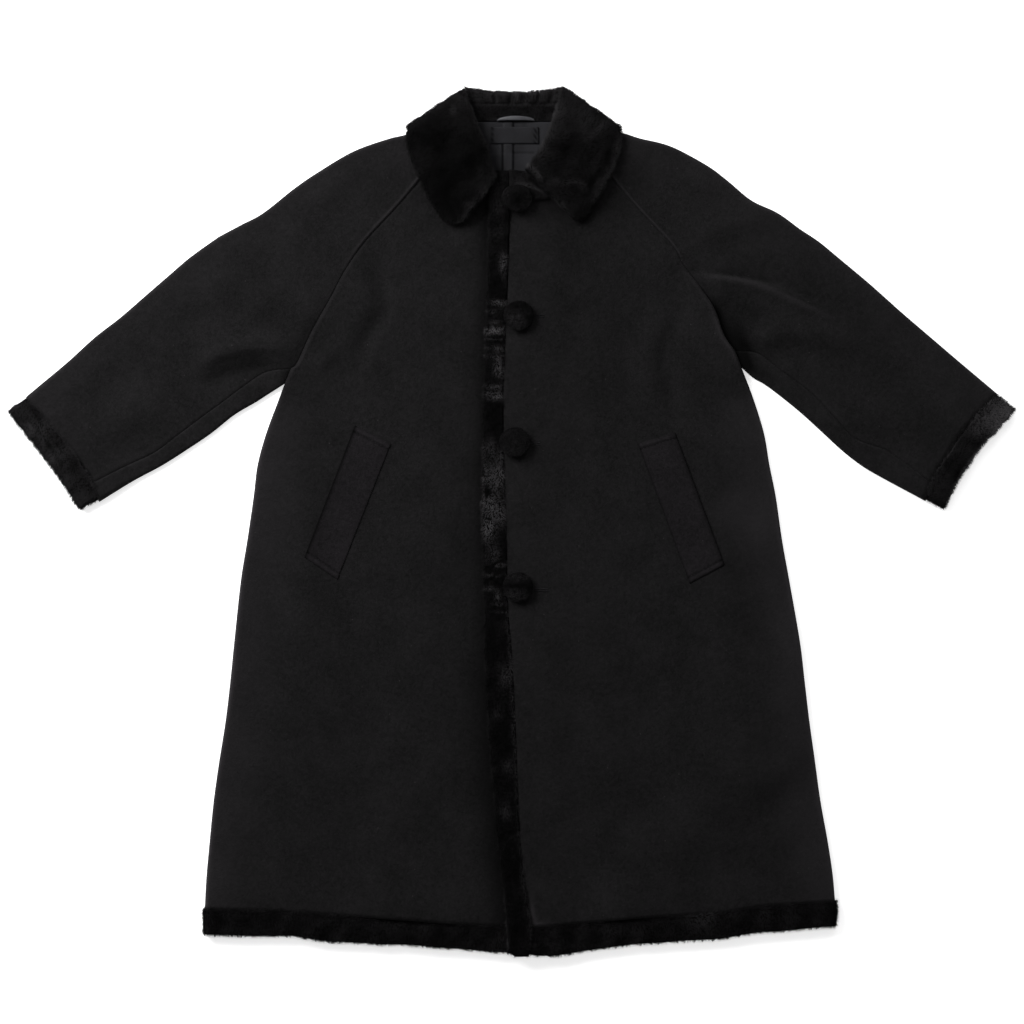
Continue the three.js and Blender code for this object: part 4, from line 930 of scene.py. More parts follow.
def weltStitches(welt, surface):  # a row of stitches across each end of a welt
    a, b, c, d = (np.array(spot, float) for spot in welt["corners"])
    starts, ends = [], []
    for p, q, other in ((a, b, c), (c, d, a)):
        acrossWelt = unit(q - p)
        into = unit(other - p) * weltLook["stitchIn"]
        width = np.hypot(*(q - p))
        step = weltLook["stitch"] + weltLook["gap"]
        count = int((width - 6) / step)
        at = 3 + step * np.arange(count)[:, None] + (width - 6 - step * count + weltLook["gap"]) / 2
        starts.append(p + into + acrossWelt * at)
        ends.append(p + into + acrossWelt * (at + weltLook["stitch"]))
    starts, ends = np.concatenate(starts), np.concatenate(ends)
    top = weltLook["thick"] + cloth["seam"] - 0.6

    def lifted(spots):
        return np.column_stack([spots, surface(spots[:, 0], spots[:, 1]) + top])
    return lifted(starts), lifted(ends)


def threads(starts, ends, width):
    # Stitches: each a slim spindle from start to end, with a four-sided ring at a fifth and at four fifths
    along = ends - starts
    sideways = unit(np.cross(along, (0, 0, 1))) * width / 2
    up = unit(np.cross(sideways, along)) * width / 2
    rings = [mix(starts, ends, t) + s for t in (0.2, 0.8) for s in (sideways, up, -sideways, -up)]
    points = np.stack([starts, ends] + rings, 1).reshape(-1, 3)
    faces = []
    for k in range(4):
        n = (k + 1) % 4
        faces += [(0, 2 + n, 2 + k), (2 + k, 2 + n, 6 + n), (2 + k, 6 + n, 6 + k), (1, 6 + k, 6 + n)]
    faces = (10 * np.arange(len(starts))[:, None, None] + np.array(faces)).reshape(-1, 3)
    return points, facesOutward(points, faces)


# Ends of the buttonholes, which show beside the buttons: start and end of each slit
holeEnds = [((29, 255), (41, 256)), ((25, 95), (36, 96)), ((29, -86), (46, -87))]


def buttonholeStitches():  # purl stitches side by side across each slit, and one thread along it
    starts, ends = [], []
    for a, b in holeEnds:
        a, b = np.array(a, float), np.array(b, float)
        along = unit(b - a)
        side = np.array([-along[1], along[0]])
        at = np.arange(0, np.hypot(*(b - a)), 0.95)[:, None]
        for sign in (1, -1):
            starts.append(a + along * at + side * sign * 0.3)
            ends.append(a + along * at + side * sign * 2.1)
    starts, ends = np.concatenate(starts), np.concatenate(ends)

    def lifted(spots, rise):
        return np.column_stack([spots, overTop(spots[:, 0], spots[:, 1]) + rise])
    return lifted(starts, 0.45), lifted(ends, 0.0)


def buttonGrids():
    # Dome turned about its own axis: half a flat circle below, a rounded rim, then a low arch to the middle
    inner = button["radius"] - button["pile"]
    t = np.linspace(0, 1, 14)[1:]
    radius = np.concatenate([[0.02, inner * 0.5, inner - 2, inner - 0.4, inner],
                             inner * np.maximum(np.cos(t * quarter), 0) ** 0.4])
    radius[-1] = 0.02
    top = button["height"] - button["pile"]
    height = np.concatenate([[0, 0, 0, 0.9, button["rim"]],
                             button["rim"] + (top - button["rim"]) * np.sin(t * quarter)])
    angle = np.linspace(0, 2 * np.pi, 49)[:-1, None]
    points = np.stack([radius * np.cos(angle), radius * np.sin(angle), height + 0 * angle], -1)
    points[..., 2] += 0.25 * sway(tuftSway, points[..., 0] * 1.3, points[..., 1] * 1.3) * (height > 4)
    return points


def loopShell():
    # A ribbon whose upper edge bows up as a power of a half sine, and whose middle arches off the cloth
    v, u = grid(9, 60)
    x = mix(loop["left"], loop["right"], u)
    bow = np.sin(np.pi * np.clip(u, 0.0005, 0.9995)) ** 0.38
    crest = mix(neckSeamY + cloth["seam"], loop["top"], bow)
    y = crest - v * loop["width"] * np.maximum(0.25, bow)
    under = furBand["thick"] + cloth["rest"] + 5.5 + loop["arch"] * np.sin(np.pi * u)
    return layer(x, y, under, loop["thick"])


def hexColour(text):  # "#rrggbb" as it looks on a screen, to linear light
    c = np.array([int(text[k:k + 2], 16) for k in (1, 3, 5)]) / 255
    return (*np.where(c <= 0.04045, c / 12.92, ((c + 0.055) / 1.055) ** 2.4), 1.0)


def addNode(tree, kind, settings=(), inputs=()):  # a node with its settings, and its inputs set or linked
    made = tree.nodes.new(kind)
    for key, value in dict(settings).items():
        setattr(made, key, value)
    for key, value in dict(inputs).items():
        if isinstance(value, bpy.types.NodeSocket):
            tree.links.new(value, made.inputs[key])
        else:
            made.inputs[key].default_value = value
    return made


def newMaterial(name, shader):  # gives it with its tree, its shader and the places on the mesh
    made = bpy.data.materials.new(name)
    made.use_nodes = True
    made.node_tree.nodes.clear()
    tree = made.node_tree
    surface = addNode(tree, "ShaderNodeBsdfPrincipled", inputs=shader)
    addNode(tree, "ShaderNodeOutputMaterial", inputs={"Surface": surface.outputs[0]})
    place = addNode(tree, "ShaderNodeTexCoord").outputs["Object"]
    return made, tree, surface, place


def noise(tree, place, sizeMm, detail=3.0, rough=0.55, distort=0.0):  # blotches of about this size
    return addNode(tree, "ShaderNodeTexNoise", inputs={
        "Vector": place, "Scale": 1000 / sizeMm, "Detail": detail, "Roughness": rough, "Distortion": distort,
    }).outputs[0]


def spread(tree, value, low, high, toLow=0.0, toHigh=1.0):  # low to high becomes toLow to toHigh
    return addNode(tree, "ShaderNodeMapRange", inputs={
        0: value, 1: low, 2: high, 3: toLow, 4: toHigh}).outputs[0]


def sums(tree, operation, a, b):
    return addNode(tree, "ShaderNodeMath", {"operation": operation}, {0: a, 1: b}).outputs[0]


def blend(tree, share, low, high):  # from one colour to another
    made = addNode(tree, "ShaderNodeMix", {"data_type": "RGBA"}, {0: share, 6: low, 7: high})
    return made.outputs[2]


def mark(tree, name):  # a mesh's own number at each point
    return addNode(tree, "ShaderNodeAttribute", {"attribute_name": name}).outputs["Fac"]


def addBump(tree, surface, strength, distance, height):
    bump = addNode(tree, "ShaderNodeBump", inputs={
        "Strength": strength, "Distance": distance, "Height": height})
    tree.links.new(bump.outputs[0], surface.inputs["Normal"])


def linkPaintedShading(tree, surface, colour, pale, deep):
    # Painted highlight where the mesh's painted shading is above 0; painted shade, without gloss, below 0
    paintedShading = mark(tree, "paintedShading")
    paler = blend(tree, paintedShading, colour, hexColour(pale))
    deeper = blend(tree, sums(tree, "MULTIPLY", paintedShading, -1.0), paler, hexColour(deep))
    tree.links.new(deeper, surface.inputs["Base Color"])
    gloss = surface.inputs["Specular IOR Level"]
    tree.links.new(spread(tree, paintedShading, -0.8, 0, 0, gloss.default_value), gloss)


# pale is the colour of painted highlights and deep that of painted shade; the rest are the cloth's own
melton = {"dark": "#080808", "light": "#191819", "pale": "#282628", "deep": "#040404", "lint": "#2c2a2b",
          "fibreMm": 2.4, "nubMm": 5.5, "clothMm": 45, "lintMm": 15}


def makeMelton(name, dark, light):
    # Melton: woollen cloth fulled until its weave is hidden, then napped. The eye sees short matted fibres,
    # soft mottling where the nap lies differently, and a few specks of pale lint
    made, tree, surface, place = newMaterial(name, {
        "Roughness": 0.95, "Specular IOR Level": 0.03, "Sheen Weight": 0.02, "Sheen Roughness": 0.6})
    fibre = noise(tree, place, melton["fibreMm"], 4, 0.7, 0.6)
    nub = noise(tree, place, melton["nubMm"], 3, 0.6)
    area = noise(tree, place, melton["clothMm"], 2, 0.5)
    tone = sums(tree, "ADD", spread(tree, fibre, 0.36, 0.66, 0, 0.5), spread(tree, nub, 0.35, 0.65, 0, 0.28))
    tone = sums(tree, "ADD", tone, spread(tree, area, 0.35, 0.65, 0, 0.22))
    cells = addNode(tree, "ShaderNodeTexVoronoi", inputs={"Vector": place, "Scale": 1000 / melton["lintMm"]})
    speck = spread(tree, cells.outputs["Distance"], 0.03, 0.05, 1, 0)
    chosen = spread(tree, addNode(tree, "ShaderNodeSeparateColor", inputs={
        0: cells.outputs["Color"]}).outputs[0], 0.55, 0.6)
    fleck = spread(tree, noise(tree, place, melton["nubMm"], 5, 0.75, 1.5), 0.62, 0.72, 0, 0.45)
    tone = sums(tree, "ADD", tone, fleck)
    colour = blend(tree, tone, hexColour(dark), hexColour(light))
    colour = blend(tree, sums(tree, "MULTIPLY", speck, chosen), colour, hexColour(melton["lint"]))
    # Painted light and shade from the mesh, over the cloth's colour
    linkPaintedShading(tree, surface, colour, melton["pale"], melton["deep"])
    relief = sums(tree, "ADD", fibre, sums(tree, "MULTIPLY", nub, 0.8))
    addBump(tree, surface, 0.6, 0.0012, relief)
    return made


# root is painted shade at the hairs' roots, and light the painted sheen at their tips
plush = {"root": "#030303", "dark": "#060606", "light": "#5a585a", "skinDark": "#020202",
         "skinLight": "#0b0a0b"}


def makePlushPile():
    # Pile of a sheared plush fur: fine glossy hairs. Painted shade toward their roots, and painted
    # sheen where they lie over
    made, tree, surface = newMaterial("plushFurPile", {
        "Roughness": 0.7, "Specular IOR Level": 0.02, "Sheen Weight": 0.0})[:3]
    along, shine = mark(tree, "along"), mark(tree, "shine")
    tip = blend(tree, shine, hexColour(plush["dark"]), hexColour(plush["light"]))
    colour = blend(tree, spread(tree, along, 0.0, 0.6, 0.5, 1.0), hexColour(plush["root"]), tip)
    tree.links.new(colour, surface.inputs["Base Color"])
    return made


def makePlushSkin():
    # Skin under the pile: seen only between the hairs, so nearly black, with tufts
    made, tree, surface, place = newMaterial("plushFurSkin", {"Roughness": 0.9, "Specular IOR Level": 0.03})
    tuft = noise(tree, place, 4, 4, 0.6, 0.5)
    colour = blend(tree, spread(tree, tuft, 0.35, 0.7), hexColour(plush["skinDark"]),
                   hexColour(plush["skinLight"]))
    tree.links.new(colour, surface.inputs["Base Color"])
    addBump(tree, surface, 0.8, 0.0015, tuft)
    return made


# pale is the colour of painted highlights and deep that of painted shade
woven = {"pale": "#2a2a2d", "deep": "#030303", "cloudMm": 16}


def makeWoven(name, dark, light, ribMm, angle, roughness, specular):
    # Closely woven filament cloth: fine ribs that catch the light as a soft gloss. Real ribs are some 0.4 mm
    # apart, too fine to show, so they are drawn coarser
    made, tree, surface, place = newMaterial(name, {"Roughness": roughness, "Specular IOR Level": specular})
    turned = addNode(tree, "ShaderNodeMapping", inputs={
        "Vector": place, "Rotation": (0, 0, angle)}).outputs[0]
    ribs = addNode(tree, "ShaderNodeTexWave", {"wave_type": "BANDS", "bands_direction": "X"}, {
        "Vector": turned, "Scale": 2 * np.pi * 1000 / ribMm / 20, "Distortion": 1.2, "Detail": 2}).outputs[1]
    cloudy = noise(tree, place, woven["cloudMm"], 3, 0.6)
    tone = sums(tree, "ADD", sums(tree, "MULTIPLY", ribs, 0.45), spread(tree, cloudy, 0.3, 0.7, 0, 0.55))
    # Painted light and shade from the mesh, over the cloth's colour
    linkPaintedShading(tree, surface, blend(tree, tone, hexColour(dark), hexColour(light)), woven["pale"],
            woven["deep"])
    addBump(tree, surface, 0.35, 0.0004, ribs)
    return made


meltonWool = makeMelton("meltonWool", melton["dark"], melton["light"])
meltonWeltPaintedSheen = makeMelton("meltonWoolWeltPaintedSheen", "#0a090a", "#1b191b")  # a paler copy of the wool: painted sheen, as of a nap cut the other way
plushFurPile = makePlushPile()
plushFurSkin = makePlushSkin()
liningTwill = makeWoven("liningTwill", "#0f0f10", "#1a1a1d", 0.9, 0.8, 0.5, 0.06)
labelSatin = makeWoven("labelSatin", "#0f0f10", "#1b1b1e", 0.8, 0.0, 0.45, 0.06)
loopRibbon = makeWoven("loopRibbon", "#262628", "#37373b", 1.6, 0.0, 0.4, 0.3)
sewingThread = makeWoven("sewingThread", "#0e0e0f", "#1c1b1d", 0.7, 0.6, 0.7, 0.1)
print("materials made")


def dress(piece, slotName, *nodes):  # its body and the nodes it stands for; slotName is not used
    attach(piece, "root")
    if nodes:
        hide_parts(*nodes)
    return piece


def shell(name, layers, material, slotName, *nodes, looped=False):
    # A closed piece between its outer and inner points, with its painted light and shade where that is given
    outer, inner, *paintedShading = layers
    points, faces = sheetFaces(outer, inner, looped)
    marks = {"paintedShading": np.concatenate([paintedShading[0].ravel(), 0 * paintedShading[0].ravel()])} if paintedShading else None
    return dress(makeObject(name, points, faces, material, marks), slotName, *nodes)


wool = "melton_wool"
backPanel = shell("backPanel", back, meltonWool, wool, "back")
frontRightPanel = shell("frontRightPanel", frontRight, meltonWool, wool, "front_right")
frontLeftPanel = shell("frontLeftPanel", frontLeft, meltonWool, wool, "front_left")

for side, sleeve, cuff, frontArea, backArea in (
        ("Right", sleeveRight, cuffRight, 0.0806, 0.0927), ("Left", sleeveLeft, cuffLeft, 0.0755, 0.0906)):
    node = "sleeve_" + side.lower()
    front = shell("sleeveFront" + side, sleeveFront(sleeve, cuff), meltonWool, wool, node + "_front")
    flat, wrap = sleeveBehind(sleeve, cuff), sleeveWrap(sleeve, cuff)
    parts = [sheetFaces(*flat[:2]), sheetFaces(*wrap)]
    faces = np.concatenate([parts[0][1], parts[1][1] + len(parts[0][0])])
    # Painted light and shade on the wrap, and painted shade where it starts under the body's edge
    shade = paintedShadingAt(wrap[0][..., 0], wrap[0][..., 1])
    shade = shade - 0.6 * bell(np.arange(len(wrap[0])), 3.2)[:, None]
    paintedShading = np.concatenate([np.zeros(len(parts[0][0])), shade.ravel(), shade.ravel()])
    behind = dress(makeObject("sleeveBack" + side, np.concatenate([parts[0][0], parts[1][0]]), faces,
                              meltonWool, {"paintedShading": paintedShading}), wool, node + "_back")
print("wool panels made")


def addFur(name, middle, node, count, flow, look, patches=(), streaks=(), keep=None,
           looped=False, layers=None, thick=None):
    # A skin about the middle points, lowered by half the pile, or between layers that are given. Its strands
    # are a second piece
    if layers is None:
        outer, inner, normals = furSkin(middle, thick or furBand["thick"] - furBand["pile"], looped)
        outer, inner = outer - normals * furBand["pile"] / 2, inner - normals * furBand["pile"] / 2
    else:
        outer, inner = layers
        normals = gridNormal(outer, looped)
    skin = shell(name, (outer, inner), plushFurSkin, "plush_fur", *([node] if node else []), looped=looped)
    outward = gridNormal(outer, looped)
    outward = outward * np.sign(np.sum(outward * normals, -1, keepdims=True) + 1e-9)
    points, faces, marks, shading = pile(*scatter(outer, outward, count, looped, keep), flow, look, patches,
                                         streaks)
    strands = dress(makeObject(name + "Pile", points, faces, plushFurPile, marks, shading), "plush_fur")
    return skin


def heading(x, y):  # the same direction everywhere
    return lambda px, py: (x + 0 * px, y + 0 * px)


def stripFlow(x, y):  # down the edge band, and out over its seams at both sides
    left, right = lookUp(bandEdge, y, 1), lookUp(bandEdge, y, 2)
    side = np.clip((2 * x - left - right) / (right - left), -1, 1)
    return 0.15 + 1.3 * side**3, -1 + 0 * x


def hemFlow(x, y):  # down the hem band, but up over its seam, and toward the edge band beside it
    down = mix(-0.9, 1, smooth(0, 11, hemTop(x) - y))
    return 0.35 - 1.6 * bell(x - 24, 8), -down


def cuffFlow(cuff):  # out along a cuff, but back over its seam
    out = unit((cuff[:, 2:] - cuff[:, :2]).mean(0))

    def flow(x, y):
        s = mix(-0.9, 1, smooth(0, 10, cuffDistance(cuff, x, y)))
        return out[0] * s - 0.4 * out[1], out[1] * s + 0.4 * out[0]
    return flow


def seenMore(points, above=8.5, below=0.12):  # most strands stand on the upper side
    return np.where(points[..., 2] > above, 1.0, below)


collarFur = {"length": 4.6, "width": 0.8, "lean": 0.9, "swirl": 0.55, "shine": 0.035, "mottle": 0.009,
             "patch": 0.36}
standFur = {"length": 3.6, "width": 0.7, "lean": 0.8, "swirl": 0.8, "shine": 0.1, "mottle": 0.02,
            "patch": 0.5}
bandFur = {"length": 4.0, "width": 0.75, "lean": 0.8, "swirl": 1.0, "shine": 0.01, "mottle": 0.02,
           "patch": 0.75}
cuffFur = {"length": 4.4, "width": 0.8, "lean": 0.8, "swirl": 0.6, "shine": 0.09, "mottle": 0.025,
           "patch": 0.6}
hemFur = {"length": 4.4, "width": 0.8, "lean": 0.75, "swirl": 0.8, "shine": 0.055, "mottle": 0.02,
          "patch": 0.6}
buttonFur = {"length": 1.9, "width": 0.55, "lean": 1.0, "swirl": 0.5, "shine": 0.07, "mottle": 0.008,
             "patch": 0.8}


def fromNeck(x, y):  # away from the middle of the neck
    d = np.hypot(x - 3, y - 500) + 1
    return (x - 3) / d, (y - 500) / d


neckEdges = [  # the collar's rolled inner edges, drawn on past both of their ends
    (1, 8, 8, [(-4, 300), (-8, 340), (-12, 380), (-18, 428), (-25, 443), (-30, 467), (-37, 482),
               (-46, 506), (-59, 542), (-70, 575), (-80, 610), (-90, 650)]),
    (1, 8, 8, [(-20, 330), (-12, 360), (-2, 400), (16, 438), (27, 452), (37, 467), (44, 481), (53, 506),
               (64, 544), (72, 575), (80, 610), (90, 650)]),
]


def collarFlow(x, y):  # away from the neck, but over into it at the rolled edges
    fx, fy = fromNeck(x, y)
    s = 1 - 1.9 * np.minimum(sum(foldHeight(edge, x, y) for edge in neckEdges), 1)
    return fx * s - 0.4 * fy, fy * s + 0.4 * fx


# Painted sheen where the pile shows paler, painted shade where darker: x, y, reach in x and y, amount
collarSheenAndShade = [
    (74, 512, 26, 20, 0.17), (92, 486, 24, 7, 0.1), (38, 464, 7, 9, 0.16), (48, 484, 7, 12, 0.16),
    (58, 508, 7, 16, 0.16), (70, 540, 9, 7, 0.2), (124, 468, 6, 12, 0.1), (114, 444, 6, 13, 0.1),
    (105, 424, 6, 10, 0.1), (68, 475, 9, 8, 0.1), (53, 460, 8, 7, 0.08), (64, 412, 9, 8, 0.08),
    (128, 410, 7, 10, 0.09), (114, 400, 6, 6, 0.06), (60, 396, 12, 5, 0.15), (100, 500, 10, 8, 0.07),
    (-52, 397, 9, 6, 0.12), (-38, 412, 8, 6, 0.12), (-71, 512, 4, 6, 0.2), (-60, 530, 6, 12, 0.14),
    (-100, 480, 26, 26, -0.08), (-84, 420, 30, 30, -0.08), (-56, 450, 20, 30, -0.08),
    (70, 462, 24, 7, -0.06), (-64, 406, 20, 16, -0.1), (-39, 462, 14, 20, -0.08), (-78, 470, 30, 30, -0.05),
]
collarSheenAndShadeLines = [
    (0.07, 3.5, 3.5, [(94, 388), (101, 401), (120, 430), (130, 458), (134, 482), (132, 498)]),
    (-0.05, 6, 6, [(86, 398), (93, 410), (113, 441), (124, 474), (122, 492)]),
    (0.08, 3.5, 5, [(30, 420), (46, 422), (64, 423), (80, 424), (90, 416), (94, 404)]),
    (0.08, 4, 4, [(84, 468), (93, 476), (108, 488), (124, 502)]),
    (0.03, 4, 3, [(60, 524), (53, 507), (45, 478), (32, 453), (20, 439), (14, 430)]),
    (0.17, 3.5, 3.5, [(14, 446), (21, 441), (33, 431), (40, 426)]),
    (0.09, 3, 4, [(46, 412), (58, 398), (72, 382), (80, 372)]),
    (0.05, 4, 3, [(-70, 366), (-62, 374), (-50, 394), (-34, 410), (-20, 426), (-14, 440)]),
    (0.12, 3, 4, [(-64, 556), (-54, 532), (-46, 508), (-37, 484), (-28, 464), (-22, 442), (-18, 424)]),
    (-0.03, 5, 5, [(58, 446), (66, 462), (76, 478), (86, 490)]),
]
addFur("collarFur", collarMiddle(), "collar", 40000, collarFlow, collarFur,
       keep=seenMore, patches=collarSheenAndShade, streaks=collarSheenAndShadeLines)
print("collar made")

# Painted sheen on the edge band, painted shade below 0: x, y, reach across, reach along, amount
stripSheenAndShade = [
    (-16, 404, 9, 26, 0.12), (-18, 362, 11, 9, 0.09), (-11, 322, 5, 12, 0.75), (-18, 296, 10, 8, -0.06),
    (-17, 273, 10, 3.2, 0.8), (-24, 262, 6, 2.5, 0.3), (-21, 249, 7, 2.5, 0.35), (-20, 238, 12, 4.6, 1.1),
    (-18, 216, 10, 4, 0.4), (-17, 195, 5, 11, 0.7), (-14, 184, 4, 6, 0.3), (-20, 168, 10, 3.2, 0.5),
    (-20, 157, 11, 5, 0.85), (-18, 138, 14, 11, -0.1), (-14, 84, 5, 8, 0.25), (-26, 91, 7, 12, 0.35),
    (-15, 56, 8, 18, 0.65), (-29, 58, 6, 16, 0.45), (-28, 22, 8, 16, 0.6), (-28, -10, 7, 16, 0.7),
    (-15, 10, 8, 14, 0.65), (-30, 36, 4, 6, -0.6), (-9, -36, 4, 22, -0.15), (-22, -42, 9, 10, 0.3),
    (-15, -54, 7, 3, 0.45), (-24, -68, 8, 2.5, 0.4), (-26, -84, 7, 3, 0.35), (-17, -93, 4, 7, 0.45),
    (-16, -104, 11, 2.2, 0.18), (-14, -114, 11, 2.2, 0.2), (-24, -140, 7, 8, -0.05), (-9, -196, 8, 14, 0.3),
    (-18, -240, 6, 8, 0.12), (-4, -310, 6, 12, 0.2), (-8, -362, 7, 9, 0.2), (2, -430, 8, 20, -0.1),
]
stripSheenAndShadeLines = [
    (-0.3, 1.6, 1.6, [(-2, -42), (-14, -50), (-28, -58), (-38, -64)]),
    (-0.3, 1.6, 1.6, [(-2, -56), (-14, -63), (-28, -72), (-38, -80)]),
    (0.2, 1.3, 1.3, [(-44, 229), (-20, 227), (6, 228)]),
    (0.18, 1.3, 1.3, [(-44, 207), (-20, 205), (6, 207)]),
    (0.1, 3, 3, [(-6, 380), (-5, 280), (-8, 150), (-7, 20), (-5, -110), (-2, -160), (6, -270), (12, -420)]),
    (0.16, 4, 4, [(-3, -40), (-4, -110), (-1, -160), (5, -272), (8, -340), (14, -430), (22, -490),
                  (25, -520), (24, -560), (24, -620), (24, -680)]),
    (0.22, 1.5, 1.5, [(-10, -450), (-8, -490), (-6, -512), (-4, -528), (-2, -548)]),
    (0.2, 1.2, 1.2, [(-40, 120), (-33, 90), (-34, 60), (-34, 20), (-32, -20), (-32, -60)]),
]
addFur("frontBandFur", edgeBandMiddle(), "front_band", 23400, stripFlow, bandFur,
       patches=stripSheenAndShade, streaks=stripSheenAndShadeLines)
cornerSheenAndShadeLines = [
    (0.16, 2.5, 2.5, [(-8, 412), (1.6, 417.5), (19.4, 418), (32, 413), (42, 407)]),
    (0.16, 3, 3, [(14, 442), (24, 437), (34, 430), (46, 421)]),
    (-0.08, 4, 3, [(12, 427), (26, 424), (36, 420), (46, 412)]),
]
# The neck corner's pile gets painted shade in two places, and painted sheen and shade along its lines
addFur("neckCornerFur", cornerMiddle(), None, 3200, heading(0.9, -0.4), standFur,
       patches=[(2, 434, 9, 10, -0.14), (34, 411, 8, 5, -0.08)], streaks=cornerSheenAndShadeLines,
       thick=corner["thick"])
# Painted sheen and painted shade on the hem and cuff bands
hemSheenAndShade = [(-330, -500, 40, 10, -0.03), (238, -500, 18, 12, 0.25), (330, -494, 30, 10, 0.05),
              (120, -512, 40, 8, 0.05)]
addFur("hemBandFur", hemMiddle(), "hem_band", 37000, hemFlow, hemFur,
       keep=seenMore, patches=hemSheenAndShade)
cuffSheenAndShade = {
    "Right": [(-616, 138, 12, 10, 0.1), (-600, 118, 8, 9, 0.25), (-586, 106, 6, 14, 0.3),
              (-572, 84, 8, 12, 0.25), (-556, 58, 9, 12, 0.12), (-534, 26, 9, 9, 0.1)],
    "Left": [(612, 140, 18, 13, 0.7), (598, 122, 14, 11, 0.7), (580, 110, 8, 9, 0.3), (566, 80, 8, 9, -0.06),
             (586, 92, 12, 10, -0.1), (560, 56, 14, 18, -0.14)],
}
cuffSheenAndShadeLines = {
    "Right": [(-0.1, 3, 3, [(-612, 138), (-590, 112), (-570, 84), (-552, 56)]),
              (0.06, 3, 3, [(-640, 196), (-608, 157), (-582, 128), (-558, 98), (-537, 70), (-514, 26),
                            (-500, 0)])],
    "Left": [(0.1, 3, 3, [(640, 196), (608, 160), (585, 137), (563, 112), (546, 85), (529, 59), (515, 28),
                          (500, 0)]),
             (0.34, 1.6, 1.6, [(640, 156), (621, 136), (598, 107), (575, 80), (552, 44), (542, 22)])],
}
for side, cuff, node in (("Right", cuffRight, "cuff_right"), ("Left", cuffLeft, "cuff_left")):
    addFur("cuffFur" + side, cuffMiddle(cuff), node, 10000, cuffFlow(cuff), cuffFur,
           keep=seenMore, looped=True, patches=cuffSheenAndShade[side], streaks=cuffSheenAndShadeLines[side])
print("bands made")

# Painted sheen on the gathers' ridges and painted shade on the lower band
standSheenAndShade = [(-28, 532, 8, 9, 0.1), (-9.4, 532, 4, 8, 0.12), (6, 532, 4, 8, 0.3), (27.6, 532, 5, 8, 0.12),
                (42.5, 532, 4, 8, 0.08), (2, 510, 60, 8, -0.06)]
addFur("collarStandFur", None, "collar_stand", 8000, heading(0, 1), standFur,
       keep=lambda points: seenMore(points, 7, 0.1), layers=standShell(),
       patches=standSheenAndShade)

buttonPoints = buttonGrids()
# Painted sheen and painted shade on each button's pile
buttonSheenAndShade = [
    [(-14, 8, 5, 7, 0.1), (0, 0, 12, 12, -0.08)],
    [(-5, -5, 10, 8, 0.17), (0, 14, 16, 5, -0.16), (15, 2, 5, 14, -0.16)],
    [(-8, -12, 10, 6, 0.05)],
    [(-4, -9, 12, 6, 0.13), (0, 13, 12, 5, 0.08), (16, 0, 5, 10, -0.14), (-2, 2, 16, 3, -0.16)],
]
for number, (bx, by) in enumerate(button["centres"]):
    reach = button["radius"]
    above, below = (float(edgeBandBottom(np.array(bx - reach), np.array(by + dy))) for dy in (reach, -reach))
    tilt = np.arctan2(above - below, 2 * reach)
    x, y, z = np.moveaxis(buttonPoints, -1, 0)
    y = y * button["length"][number] + button["up"][number]  # the top one is drawn up a little
    lifted = (above + below) / 2 + furBand["thick"] + 2 * cloth["rest"]
    dome = np.stack([bx + x, by + y * np.cos(tilt) - z * np.sin(tilt),
                     lifted + y * np.sin(tilt) + z * np.cos(tilt)], -1)
    rows, columns = dome.shape[:2]
    index = np.arange(rows * columns).reshape(rows, columns)
    following = np.roll(index, -1, 0)
    faces = np.stack([index[:, :-1], following[:, :-1], following[:, 1:], index[:, 1:]], -1).reshape(-1, 4)
    points = dome.reshape(-1, 3)
    name, node = "button%dFur" % (number + 1), "button_%d" % (number + 1)
    dress(makeObject(name, points, facesOutward(points, faces), plushFurSkin), "plush_fur", node)
    outward = gridNormal(dome, True)
    outward = outward * np.sign(outward[0, -3, 2])
    patches = [(bx + px, by + py, rx, ry, amount) for px, py, rx, ry, amount in buttonSheenAndShade[number]]
    points, faces, marks, shading = pile(
        *scatter(dome[:, 3:], outward[:, 3:], 2900, True), heading(0.5, -0.85), buttonFur, patches)
    dress(makeObject(name + "Pile", points, faces, plushFurPile, marks, shading), "plush_fur")
print("buttons made")

x, y = rectangle(lining, 50, 80)
# Painted shade along the pleat's edges and the facing's edge, and paler toward the right
liningPaintedShading = (-0.8 * bell(x + 11.2, 1.4) * smooth(474, 470, y) - 0.8 * bell(x - 2.1, 1.4)
             + 0.1 * bell(x + 4.5, 4.5) + 0.25 * smooth(6, 24, x)
             - 0.45 * bell(y - 460, 1.4) * smooth(1, 4, x) * smooth(30, 26, x))
under = onBack(x, y) + liningRelief(x, y)
liningPiece = shell("neckLining", (*layer(x, y, under, lining["thick"]), liningPaintedShading), liningTwill,
                    "lining_cloth", "back_lining")
x, y = rectangle(label, 22, 60)
under = onBack(x, y) + lining["thick"] + lining["pleatRise"] + cloth["seam"]
# Painted shade in the folds at both ends
labelPaintedShading = (-0.75 * bell(x + 24, 2.4) * (0.65 + 0.35 * np.sin(0.9 * y + 0.5 * x))
            - 0.75 * bell(x - 30, 3) * (0.5 + 0.5 * np.sin(1.1 * x + 0.8 * y)))
labelPiece = shell("blankLabel", (*layer(x, y, under, label["thick"]), labelPaintedShading), labelSatin, "satin_ribbon",
                   "label")
shell("hangerLoop", loopShell(), loopRibbon, "satin_ribbon", "hanger_loop")
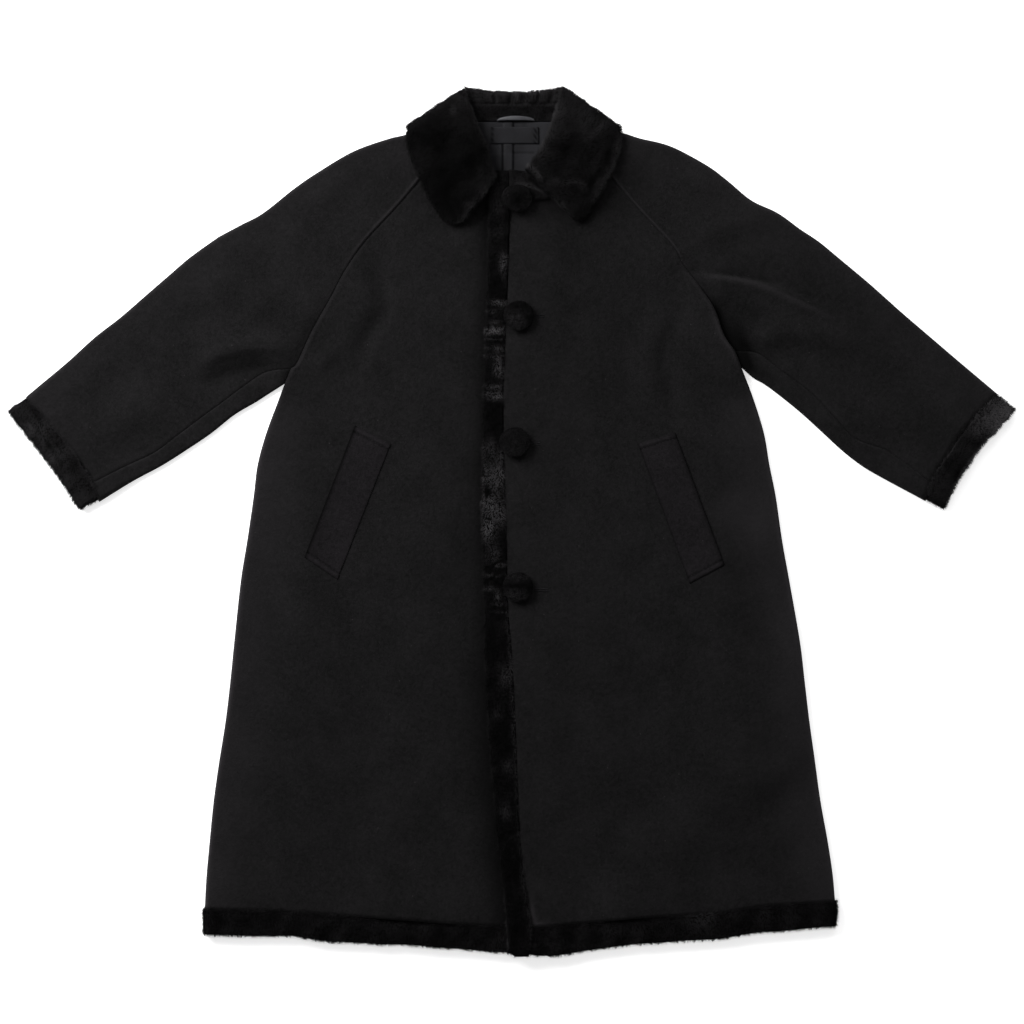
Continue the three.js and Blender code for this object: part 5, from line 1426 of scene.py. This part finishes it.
for side, surface in (("right", frontTop), ("left", overTop)):
    weltPiece = shell("weltPanel" + side.title(), weltShell(welts[side], surface), meltonWeltPaintedSheen, wool,
                      "welt_" + side)
    stitchPiece = dress(makeObject("weltStitches" + side.title(),
                                   *threads(*weltStitches(welts[side], surface), 0.9), sewingThread), wool)
dress(makeObject("buttonholeStitches", *threads(*buttonholeStitches(), 1.0), sewingThread), wool)
print("small pieces made")

# Floor, light and camera
floorMesh = bpy.data.meshes.new("floor")
floorHalf, floorDepth = 4, -0.0006
floorMesh.from_pydata([(-floorHalf, -floorHalf, floorDepth), (floorHalf, -floorHalf, floorDepth),
                       (floorHalf, floorHalf, floorDepth), (-floorHalf, floorHalf, floorDepth)],
                      [], [(0, 1, 2, 3)])
floor = bpy.data.objects.new("floor", floorMesh)
bpy.context.collection.objects.link(floor)
floorMesh.materials.append(newMaterial("paperFloor", {
    "Base Color": (0.93, 0.93, 0.93, 1), "Roughness": 0.9, "Specular IOR Level": 0.1,
    "Emission Color": (1, 1, 1, 1), "Emission Strength": 0.6})[0])  # lit from behind too, as a studio sweep

world = bpy.data.worlds.new("studio")
world.use_nodes = True
background = world.node_tree.nodes["Background"]
background.inputs["Color"].default_value = (1, 1, 1, 1)
background.inputs["Strength"].default_value = 0.3
bpy.context.scene.world = world
for name, spot, size, power in (("mainLight", (-1.7, 1.5, 1.4), 1.6, 124),
                                ("fillLight", (0.9, 2.4, 2.0), 1.2, 28)):
    lamp = bpy.data.lights.new(name, "AREA")
    lamp.size, lamp.energy = size, power
    lampObject = bpy.data.objects.new(name, lamp)
    lampObject.location = spot
    lampObject.rotation_euler = (-Vector(spot)).to_track_quat("-Z", "Y").to_euler()
    bpy.context.collection.objects.link(lampObject)

cameraData = bpy.data.cameras.new("camera")
cameraData.lens, cameraData.sensor_width = 140.6, 36
camera = bpy.data.objects.new("camera", cameraData)
camera.location = (0.0006, 0.0106, 5.012)  # straight above the coat's middle
bpy.context.collection.objects.link(camera)
bpy.context.scene.camera = camera
bpy.context.scene.view_settings.view_transform = "Standard"
print("studio made")
